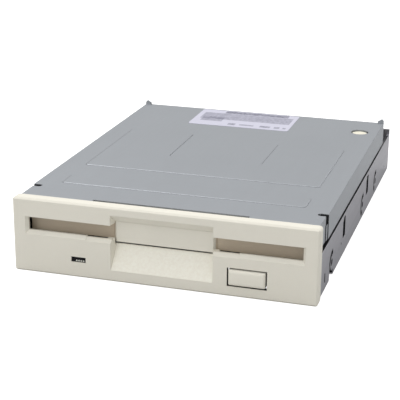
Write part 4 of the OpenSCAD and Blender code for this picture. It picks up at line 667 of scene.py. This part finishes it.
def make_finishes():
    Finish.groups.update(
        drift=drift_group(), grain=grain_group(), rolled=rolled_group(), turned=turned_group(),
        edge=edge_group(), tracks=tracks_group())
    paints = bpy.context.scene.drive_colours
    bezel, cover, chassis, board = map(tuple, (paints.bezel, paints.cover, paints.chassis, paints.board))
    return {
        "sheet_steel": sheet_metal("Chassis sheet", chassis, 0.36, 0.85, 0.18),
        # The cover's edges take painted dark lines of shade
        "cover_steel": sheet_metal("Cover sheet", cover, 0.45, 0.65, 0.04, 0.0006,
                                   tuple(c * 0.3 for c in cover), 0.45 * MM, 0.8, 0.03),
        "bright_steel": sheet_metal("Bright steel", (0.62, 0.63, 0.64), 0.28, 1.0, 0.04),
        "bezel_plastic": bezel_plastic("Bezel plastic", bezel),
        "shutter_plastic": shutter_plastic("Shutter plastic", bezel),
        "button_plastic": plastic("Button plastic", lighter(bezel, 1.04), 0.46),
        "smoked_lens": smoked_lens("Smoked lens"),
        "lamp_plastic": plastic("Lamp plastic", (0.33, 0.55, 0.16), 0.2, depth=0.002 * MM),
        "label_paper": paper("Label paper", (0.58, 0.575, 0.67)),
        "post_plastic": plastic("Post plastic", (0.86, 0.82, 0.68), 0.4),
        "dark_plastic": plastic("Dark plastic", (0.018, 0.019, 0.021), 0.45, depth=0.01 * MM),
        "carriage_plastic": plastic("Carriage plastic", (0.02, 0.022, 0.025), 0.5, 1800.0, drift=0.08),
        "connector_plastic": plastic("Connector plastic", (0.012, 0.012, 0.013), 0.42, depth=0.01 * MM),
        "pale_plastic": plastic("Pale plastic", (0.74, 0.71, 0.60), 0.4, depth=0.01 * MM),
        "ribbon_plastic": ribbon_plastic("Ribbon plastic", (0.74, 0.71, 0.60)),
        "brass_metal": turned_metal("Brass", (0.78, 0.56, 0.22), 0.3),
        "gold_pins": turned_metal("Gilt pins", (0.86, 0.63, 0.25), 0.2, marks=9000.0),
        "tinned_metal": turned_metal("Tinned metal", (0.72, 0.72, 0.71), 0.24, marks=9000.0),
        "spring_steel": turned_metal("Spring steel", (0.60, 0.61, 0.63), 0.22, marks=9000.0),
        "magnet_ferrite": ceramic("Ferrite magnet", (0.028, 0.026, 0.025), 0.55),
        "core_laminations": turned_metal("Core laminations", (0.24, 0.25, 0.27), 0.45, 0.9, 11000.0,
                                         0.02 * MM),
        "copper_windings": windings("Copper windings", (0.72, 0.28, 0.10)),
        "motor_board_laminate": board_laminate("Motor board", (0.075, 0.11, 0.03), (0.13, 0.18, 0.06)),
        "main_board_laminate": board_laminate("Main board", board, (0.035, 0.22, 0.09)),
        "head_ceramic": ceramic("Head ceramic", (0.10, 0.085, 0.075), 0.18),
        "capacitor_sleeve": plastic("Capacitor sleeve", (0.016, 0.03, 0.08), 0.22, depth=0.003 * MM),
        "screw_steel": turned_metal("Screw steel", (0.34, 0.35, 0.36), 0.34, 0.9, 6000.0, 0.006 * MM),
    }


# Mesh helpers


def added(name, data):
    item = bpy.data.objects.new(name, data)
    bpy.context.scene.collection.objects.link(item)
    return item


def softened(name, node, width, slot):
    """A copy of a CAD node with its sharp edges rounded, that stands for the node."""
    mesh = frame["nodes"][node].data.copy()
    mesh.materials.clear()
    work = bmesh.new()
    work.from_mesh(mesh)
    bmesh.ops.remove_doubles(work, verts=work.verts, dist=0.002 * MM)
    bmesh.ops.dissolve_degenerate(work, dist=0.002 * MM, edges=work.edges)
    bmesh.ops.dissolve_limit(work, angle_limit=math.radians(0.6), verts=work.verts, edges=work.edges)
    work.to_mesh(mesh)
    work.free()
    piece = added(name, mesh)
    bevel = piece.modifiers.new("Rounded edges", "BEVEL")
    bevel.width = width
    bevel.segments = 3
    bevel.limit_method = "ANGLE"
    bevel.angle_limit = math.radians(35.0)
    bevel.use_clamp_overlap = False
    bevel.miter_outer = "MITER_ARC"
    bake_modifiers(piece)
    piece.data.materials.append(FINISHES[slot])
    smooth(piece.data, 30.0)
    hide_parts(node)
    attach(piece, frame["nodes"][node]["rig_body"])


def bake_modifiers(piece):
    bpy.context.view_layer.update()
    evaluated = piece.evaluated_get(bpy.context.evaluated_depsgraph_get())
    mesh = bpy.data.meshes.new_from_object(evaluated)
    mesh.name = piece.name
    piece.modifiers.clear()
    piece.data = mesh


def smooth(mesh, angle):
    mesh.polygons.foreach_set("use_smooth", [True] * len(mesh.polygons))
    mesh.set_sharp_from_angle(angle=math.radians(angle))
    mesh.update()


def put_in_order(work):
    """Sorts points and faces by their place, so that each run writes the same mesh."""
    places = {vertex: tuple(vertex.co) for vertex in work.verts}
    places.update((face, tuple(face.calc_center_median())) for face in work.faces)
    for parts in (work.verts, work.faces):
        ranks = {part: rank for rank, part in enumerate(sorted(parts, key=places.get))}
        parts.sort(key=ranks.get)


def new_piece(name, work, slot, body, angle):
    mesh = bpy.data.meshes.new(name)
    work.to_mesh(mesh)
    work.free()
    mesh.materials.append(FINISHES[slot])
    smooth(mesh, angle)
    piece = added(name, mesh)
    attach(piece, body)


def rounded_outline(corners, radius, steps=5):
    """Outline through the corners with each one turned on a radius, convex or not."""
    points = []
    count = len(corners)
    for i, corner in enumerate(corners):
        here = Vector(corner)
        before = (Vector(corners[i - 1]) - here).normalized()
        after = (Vector(corners[(i + 1) % count]) - here).normalized()
        start, end = here + before * radius, here + after * radius
        for k in range(steps + 1):
            t = k / steps
            points.append(start * (1 - t) ** 2 + here * 2 * t * (1 - t) + end * t ** 2)
    return points


# Geometry node helpers


def open_tree(name, inputs):
    tree = bpy.data.node_groups.new(name, "GeometryNodeTree")
    tree.interface.new_socket("Geometry", in_out="INPUT", socket_type="NodeSocketGeometry")
    for label, kind, default in inputs:
        tree.interface.new_socket(label, in_out="INPUT", socket_type=kind).default_value = default
    tree.interface.new_socket("Geometry", in_out="OUTPUT", socket_type="NodeSocketGeometry")
    return tree, tree.nodes.new("NodeGroupInput"), tree.nodes.new("NodeGroupOutput")


def close_tree(tree, geometry, material, sink):
    """Every tree ends in Realize Instances and Set Material."""
    realize = tree.nodes.new("GeometryNodeRealizeInstances")
    paint = tree.nodes.new("GeometryNodeSetMaterial")
    paint.inputs["Material"].default_value = material
    tree.links.new(geometry, realize.inputs["Geometry"])
    tree.links.new(realize.outputs["Geometry"], paint.inputs["Geometry"])
    tree.links.new(paint.outputs["Geometry"], sink.inputs["Geometry"])


def grow_piece(name, tree, values, slot, body, points, chained=False):
    """Runs a tree on points, or on the path through them, and keeps a plain mesh on its body."""
    mesh = bpy.data.meshes.new(name)
    edges = [(i, i + 1) for i in range(len(points) - 1)] if chained else []
    mesh.from_pydata([tuple(p) for p in points], edges, [])
    piece = added(name, mesh)
    modifier = piece.modifiers.new("Repeat", "NODES")
    modifier.node_group = tree
    for item in tree.interface.items_tree:
        if item.item_type == "SOCKET" and item.in_out == "INPUT" and item.name in values:
            modifier[item.identifier] = values[item.name]
    bake_modifiers(piece)
    if not piece.data.polygons:
        raise RuntimeError(f"{name} came out empty")
    if not piece.data.materials:
        piece.data.materials.append(FINISHES[slot])
    work = bmesh.new()
    work.from_mesh(piece.data)
    bmesh.ops.remove_doubles(work, verts=work.verts, dist=0.0005 * MM)
    bmesh.ops.recalc_face_normals(work, faces=work.faces)
    work.to_mesh(piece.data)
    work.free()
    smooth(piece.data, 40.0)
    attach(piece, body)
    return piece


def dome_tree(name, material):
    """Small domes, one on each point, such as solder joints."""
    tree, source, sink = open_tree(name, [
        ("Radius", "NodeSocketFloat", 0.3 * MM), ("Height", "NodeSocketFloat", 0.2 * MM)])
    ball = tree.nodes.new("GeometryNodeMeshUVSphere")
    ball.inputs["Segments"].default_value = 12
    ball.inputs["Rings"].default_value = 6
    ball.inputs["Radius"].default_value = 1.0
    shape = tree.nodes.new("ShaderNodeCombineXYZ")
    for axis, label in zip("XYZ", ("Radius", "Radius", "Height")):
        tree.links.new(source.outputs[label], shape.inputs[axis])
    spread = tree.nodes.new("GeometryNodeInstanceOnPoints")
    tree.links.new(source.outputs["Geometry"], spread.inputs["Points"])
    tree.links.new(ball.outputs["Mesh"], spread.inputs["Instance"])
    tree.links.new(shape.outputs["Vector"], spread.inputs["Scale"])
    close_tree(tree, spread.outputs["Instances"], material, sink)
    return tree


def chip_resistor_tree(name, material):
    """Small rectangular parts soldered on a board, turned a quarter on points picked at random."""
    tree, source, sink = open_tree(name, [
        ("Length", "NodeSocketFloat", 1.6 * MM), ("Width", "NodeSocketFloat", 0.8 * MM),
        ("Height", "NodeSocketFloat", 0.45 * MM), ("Seed", "NodeSocketInt", 3)])
    body = tree.nodes.new("GeometryNodeMeshCube")
    size = tree.nodes.new("ShaderNodeCombineXYZ")
    for axis, label in zip("XYZ", ("Length", "Width", "Height")):
        tree.links.new(source.outputs[label], size.inputs[axis])
    tree.links.new(size.outputs["Vector"], body.inputs["Size"])
    pick = tree.nodes.new("FunctionNodeRandomValue")
    pick.data_type = "INT"
    pick.inputs["Min"].default_value = 0
    pick.inputs["Max"].default_value = 1
    tree.links.new(source.outputs["Seed"], pick.inputs["Seed"])
    turn = tree.nodes.new("ShaderNodeMath")
    turn.operation = "MULTIPLY"
    turn.inputs[1].default_value = math.pi / 2
    tree.links.new(pick.outputs[2], turn.inputs[0])
    angle = tree.nodes.new("ShaderNodeCombineXYZ")
    tree.links.new(turn.outputs[0], angle.inputs["Z"])
    spread = tree.nodes.new("GeometryNodeInstanceOnPoints")
    tree.links.new(source.outputs["Geometry"], spread.inputs["Points"])
    tree.links.new(body.outputs["Mesh"], spread.inputs["Instance"])
    tree.links.new(angle.outputs["Vector"], spread.inputs["Rotation"])
    close_tree(tree, spread.outputs["Instances"], material, sink)
    return tree


def wire_tree(name, material):
    """Round wire drawn along the path it is given."""
    tree, source, sink = open_tree(name, [
        ("Wire", "NodeSocketFloat", 0.4 * MM), ("Sides", "NodeSocketInt", 10)])
    path = tree.nodes.new("GeometryNodeMeshToCurve")
    tree.links.new(source.outputs["Geometry"], path.inputs["Mesh"])
    ring = tree.nodes.new("GeometryNodeCurvePrimitiveCircle")
    tree.links.new(source.outputs["Sides"], ring.inputs["Resolution"])
    half = tree.nodes.new("ShaderNodeMath")
    half.operation = "MULTIPLY"
    half.inputs[1].default_value = 0.5
    tree.links.new(source.outputs["Wire"], half.inputs[0])
    tree.links.new(half.outputs[0], ring.inputs["Radius"])
    sweep = tree.nodes.new("GeometryNodeCurveToMesh")
    sweep.inputs["Fill Caps"].default_value = True
    tree.links.new(path.outputs["Curve"], sweep.inputs["Curve"])
    tree.links.new(ring.outputs["Curve"], sweep.inputs["Profile Curve"])
    close_tree(tree, sweep.outputs["Mesh"], material, sink)
    return tree


def coil_path(turns, radius, length, steps=26):
    """Points of a coil along +Z from the origin."""
    count = round(turns * steps)
    return [Vector((radius * math.cos(2 * math.pi * i / steps), radius * math.sin(2 * math.pi * i / steps),
                    length * i / count)) for i in range(count + 1)]


# Operators

FINISHES = {}
# Nodes whose finish is finer than their slot's
FINER_FINISH = {"motor_ribbon": "ribbon_plastic"}


class DRIVE_OT_stage(bpy.types.Operator):
    """Lay the pale floor, hang the soft lights and stand the camera where the photograph was taken"""

    bl_idname = "drive.stage"
    bl_label = "Stage"

    def execute(self, context):
        scene = context.scene
        scene.view_settings.view_transform = "Standard"
        world = bpy.data.worlds.new("Studio")
        world.use_nodes = True
        self.light_world(world.node_tree)
        scene.world = world
        bpy.ops.mesh.primitive_plane_add(size=8.0, location=(0, 0, 0))
        floor = context.object
        floor.name = "studio_floor"
        paint = Finish("Studio floor", (0.55, 0.55, 0.55), 0.9)
        seen = paint.tree.nodes.new("ShaderNodeLightPath")
        paint.shader.inputs["Emission Color"].default_value = (1, 1, 1, 1)
        paint.tree.links.new(math_node(paint.tree, "MULTIPLY", seen.outputs["Is Camera Ray"], 0.85),
                             paint.shader.inputs["Emission Strength"])
        side = paint.tree.nodes.new("ShaderNodeNewGeometry")
        paint.tree.links.new(math_node(paint.tree, "SUBTRACT", 1.0, side.outputs["Backfacing"]),
                             paint.shader.inputs["Alpha"])
        floor.data.materials.append(paint.material)
        for name, at, aim, size, power in LIGHTS:
            lamp = bpy.data.lights.new(name, "AREA")
            lamp.size = size
            lamp.energy = power
            light = added(name, lamp)
            light.location = at
            light.rotation_euler = (Vector(aim) - Vector(at)).to_track_quat("-Z", "Y").to_euler()
        camera = bpy.data.cameras.new("photo_camera")
        camera.lens = sizes().lens
        camera.sensor_width = 36.0
        camera.clip_start = 0.01
        view = added("photo_camera", camera)
        azimuth, elevation, roll = (math.radians(a) for a in CAMERA_ANGLES)
        back = Vector((math.sin(azimuth) * math.cos(elevation), -math.cos(azimuth) * math.cos(elevation),
                       math.sin(elevation)))
        right = Vector((math.cos(azimuth), math.sin(azimuth), 0))
        up = back.cross(right)
        across = right * math.cos(roll) + up * math.sin(roll)
        upward = up * math.cos(roll) - right * math.sin(roll)
        turn = Matrix((across, upward, back)).transposed().to_4x4()
        view.matrix_world = Matrix.Translation(CAMERA_PLACE) @ turn
        scene.camera = view
        return {"FINISHED"}

    def light_world(self, tree):
        """Overhead light that fades towards the horizon, seen by the camera as plain white"""
        back = tree.nodes["Background"]
        place_in_sky = tree.nodes.new("ShaderNodeTexCoord")
        split = tree.nodes.new("ShaderNodeSeparateXYZ")
        tree.links.new(place_in_sky.outputs["Generated"], split.inputs["Vector"])
        strength = map_range(tree, split.outputs["Z"], 0.0, 0.9, HORIZON_LIGHT, OVERHEAD_LIGHT)
        path = tree.nodes.new("ShaderNodeLightPath")
        seen = math_node(tree, "MAXIMUM", strength, path.outputs["Is Camera Ray"])
        tree.links.new(seen, back.inputs["Strength"])
        back.inputs["Color"].default_value = (1.0, 1.0, 1.0, 1.0)


class DRIVE_OT_finishes(bpy.types.Operator):
    """Mix every material and lay it on the CAD nodes"""

    bl_idname = "drive.finishes"
    bl_label = "Finishes"

    def execute(self, context):
        FINISHES.update(make_finishes())
        slots = {entry["node"]: entry["material_slot"] for entry in frame["record"]["subparts"]}
        for name, node in frame["nodes"].items():
            if not node.material_slots:
                node.data.materials.append(None)
            for slot in node.material_slots:
                slot.material = FINISHES[FINER_FINISH.get(name, slots[name])]
        return {"FINISHED"}


class DRIVE_OT_button(bpy.types.Operator):
    """Round the eject button's edges"""

    bl_idname = "drive.button"
    bl_label = "Eject button"

    def execute(self, context):
        softened("button", "eject_button", sizes().button_round, "button_plastic")
        return {"FINISHED"}


class DRIVE_OT_pressings(bpy.types.Operator):
    """Raise the two pressings of the top cover"""

    bl_idname = "drive.pressings"
    bl_label = "Cover pressings"

    def execute(self, context):
        saddle = ((-42.2, 41.2), (42.2, 41.2), (42.2, 88), (17, 88), (17, 60.5), (-17, 60.5), (-17, 91),
                  (-42.2, 91))
        strip = ((-42, 19.8), (42, 19.8), (42, 29.5), (-42, 29.5))
        for name, corners in (("saddle_pressing", saddle), ("strip_pressing", strip)):
            self.pressing(name, corners)
        return {"FINISHED"}

    def pressing(self, name, corners):
        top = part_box("cover_label")[0].z
        work = bmesh.new()
        rim = [work.verts.new(place(p.x, p.y, 0)) for p in rounded_outline(corners, 1.5)]
        for vertex in rim:
            vertex.co.z = top - 0.05 * MM
        base = work.faces.new(rim)
        grown = bmesh.ops.extrude_face_region(work, geom=[base])
        upper = [v for v in grown["geom"] if isinstance(v, bmesh.types.BMVert)]
        for vertex in upper:
            vertex.co.z = top
        cap = next(f for f in grown["geom"] if isinstance(f, bmesh.types.BMFace))
        bmesh.ops.recalc_face_normals(work, faces=work.faces)
        bmesh.ops.inset_individual(work, faces=[cap], thickness=sizes().pressing_slope,
                                   depth=sizes().pressing_height, use_even_offset=True)
        bmesh.ops.recalc_face_normals(work, faces=work.faces)
        put_in_order(work)
        new_piece(name, work, "cover_steel", "frame", 8.0)


class DRIVE_OT_springs(bpy.types.Operator):
    """Wind the return springs, the shutter's spring and the disk lever's spring from round wire"""

    bl_idname = "drive.springs"
    bl_label = "Springs"

    def execute(self, context):
        self.tree = wire_tree("Wound wire", FINISHES["spring_steel"])
        self.returns()
        wire = sizes().small_wire
        low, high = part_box("shutter_spring")
        radius = (high.z - low.z - wire) / 2
        middle = (low + high) / 2
        start = Matrix.Translation((low.x + wire / 2, middle.y, middle.z))
        turn = start @ Matrix.Rotation(math.pi / 2, 4, "Y")
        path = [turn @ p for p in coil_path(7, radius, high.x - low.x - wire)]
        rest = Vector((path[0].x, middle.y - 0.2 * MM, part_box("front_bezel")[1].z - 1.9 * MM))
        self.wind("shutter_coil", "shutter_spring", [rest, *path], wire, "frame")
        low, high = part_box("latch_spring")
        radius = (high.x - low.x - wire) / 2
        turn = Matrix.Translation(((low.x + high.x) / 2, (low.y + high.y) / 2, low.z + wire / 2))
        path = [turn @ p for p in coil_path(2.5, radius, high.z - low.z - wire)]
        self.wind("lever_coil", "latch_spring", path, wire, "holder")
        return {"FINISHED"}

    def wind(self, name, node, path, wire, body):
        piece = grow_piece(name, self.tree, {"Wire": wire}, "spring_steel", body, path, chained=True)
        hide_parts(node)
        return piece

    def returns(self):
        """Close coils between the chassis's hook and the slide plate's tab, each end hooked over its tab"""
        low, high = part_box("return_springs")
        wire = sizes().return_wire
        radius = (high.z - low.z - wire) / 2
        axis_z = (low.z + high.z) / 2
        tab, hook, rise = 0.8 * MM, 1.7 * MM, 1.45 * MM
        for side, name in ((-1, "left_return_spring"), (1, "right_return_spring")):
            x = side * (high.x - radius - wire / 2)
            turn = Matrix.Translation((x, low.y + hook, axis_z)) @ Matrix.Rotation(-math.pi / 2, 4, "X")
            coil = [turn @ p for p in coil_path(24, radius, high.y - low.y - 2 * hook)]
            first = self.hook(x, low.y, axis_z, rise, -tab)
            last = self.hook(x, high.y, axis_z, rise, tab)
            piece = self.wind(name, "return_springs", [*reversed(first), *coil, *last], wire, "frame")
            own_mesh(piece)

    def hook(self, x, y, z, rise, over):
        """Wire from a coil's end up over a tab's top edge and down behind it"""
        ahead = -0.5 if over > 0 else 0.5
        return [Vector(p) for p in (
            (x, y + ahead * MM, z + 0.5 * rise), (x, y + 0.3 * ahead * MM, z + 0.9 * rise),
            (x, y + 0.1 * over, z + rise), (x, y + 0.6 * over, z + 1.04 * rise),
            (x, y + 1.1 * over, z + rise), (x, y + 1.5 * over, z + 0.8 * rise),
            (x, y + 1.5 * over, z + 0.35 * rise))]


class DRIVE_OT_board_parts(bpy.types.Operator):
    """Set solder joints under the connectors and small parts on the main board's underside"""

    bl_idname = "drive.board_parts"
    bl_label = "Board parts"

    def execute(self, context):
        solder = dome_tree("Solder joints", FINISHES["tinned_metal"])
        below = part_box("main_board")[0].z
        points = []
        for node, columns, rows in (("signal_pins", 17, 2), ("power_pins", 4, 1)):
            low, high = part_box(node)
            for i in range(columns):
                for row in range(rows):
                    x = low.x + (high.x - low.x) * (i + 0.5) / columns
                    points.append(Vector((x, low.y + (0.32 + row) * MM, below)))
        joint = {"Radius": 0.62 * MM, "Height": 0.45 * MM}
        grow_piece("solder_joints", solder, joint, "tinned_metal", "frame", points)
        self.chip_resistors(below)
        return {"FINISHED"}

    def chip_resistors(self, below):
        """Staggered rows of small soldered parts under the main board, ahead of its connectors"""
        low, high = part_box("main_board")
        pitch, row_pitch, margin, first_row, height = (v * MM for v in (3.6, 3.1, 12, 3.2, 0.45))
        across = int((high.x - low.x - 2 * margin) / pitch)
        points = []
        for row in range(3):
            left, y = low.x + margin + 0.5 * (row % 2) * pitch, low.y + first_row + row * row_pitch
            points.extend(Vector((left + i * pitch, y, below)) for i in range(across) if (i + row) % 4)
        ends = {"Length": 1.6 * MM, "Width": 0.78 * MM, "Height": height}
        middle = {"Length": 1.0 * MM, "Width": 0.84 * MM, "Height": 1.16 * height}
        kinds = (("chip_ends", "tinned_metal", ends), ("chip_middles", "dark_plastic", middle))
        for name, slot, size in kinds:
            tree = chip_resistor_tree(name, FINISHES[slot])
            grow_piece(name, tree, size, slot, "frame", points)


class DRIVE_PT_panel(bpy.types.Panel):
    bl_label = "Floppy disk drive"
    bl_idname = "DRIVE_PT_panel"
    bl_space_type = "VIEW_3D"
    bl_region_type = "UI"
    bl_category = "Drive"

    def draw(self, context):
        for group in (context.scene.drive_sizes, context.scene.drive_colours):
            for key in group.bl_rna.properties.keys():
                if key not in ("rna_type", "name"):
                    self.layout.prop(group, key)
        for step in STEPS:
            self.layout.operator(step.bl_idname)


STEPS = (
    DRIVE_OT_stage, DRIVE_OT_finishes, DRIVE_OT_button, DRIVE_OT_pressings, DRIVE_OT_springs,
    DRIVE_OT_board_parts,
)
CLASSES = (DriveSizes, DriveColours, *STEPS, DRIVE_PT_panel)


def register():
    for entry in CLASSES:
        bpy.utils.register_class(entry)
    bpy.types.Scene.drive_sizes = bpy.props.PointerProperty(type=DriveSizes)
    bpy.types.Scene.drive_colours = bpy.props.PointerProperty(type=DriveColours)


def unregister():
    del bpy.types.Scene.drive_colours
    del bpy.types.Scene.drive_sizes
    for entry in reversed(CLASSES):
        bpy.utils.unregister_class(entry)


def main():
    register()
    for step in STEPS:
        group, name = step.bl_idname.split(".")
        getattr(getattr(bpy.ops, group), name)()


if __name__ == "__main__":
    main()
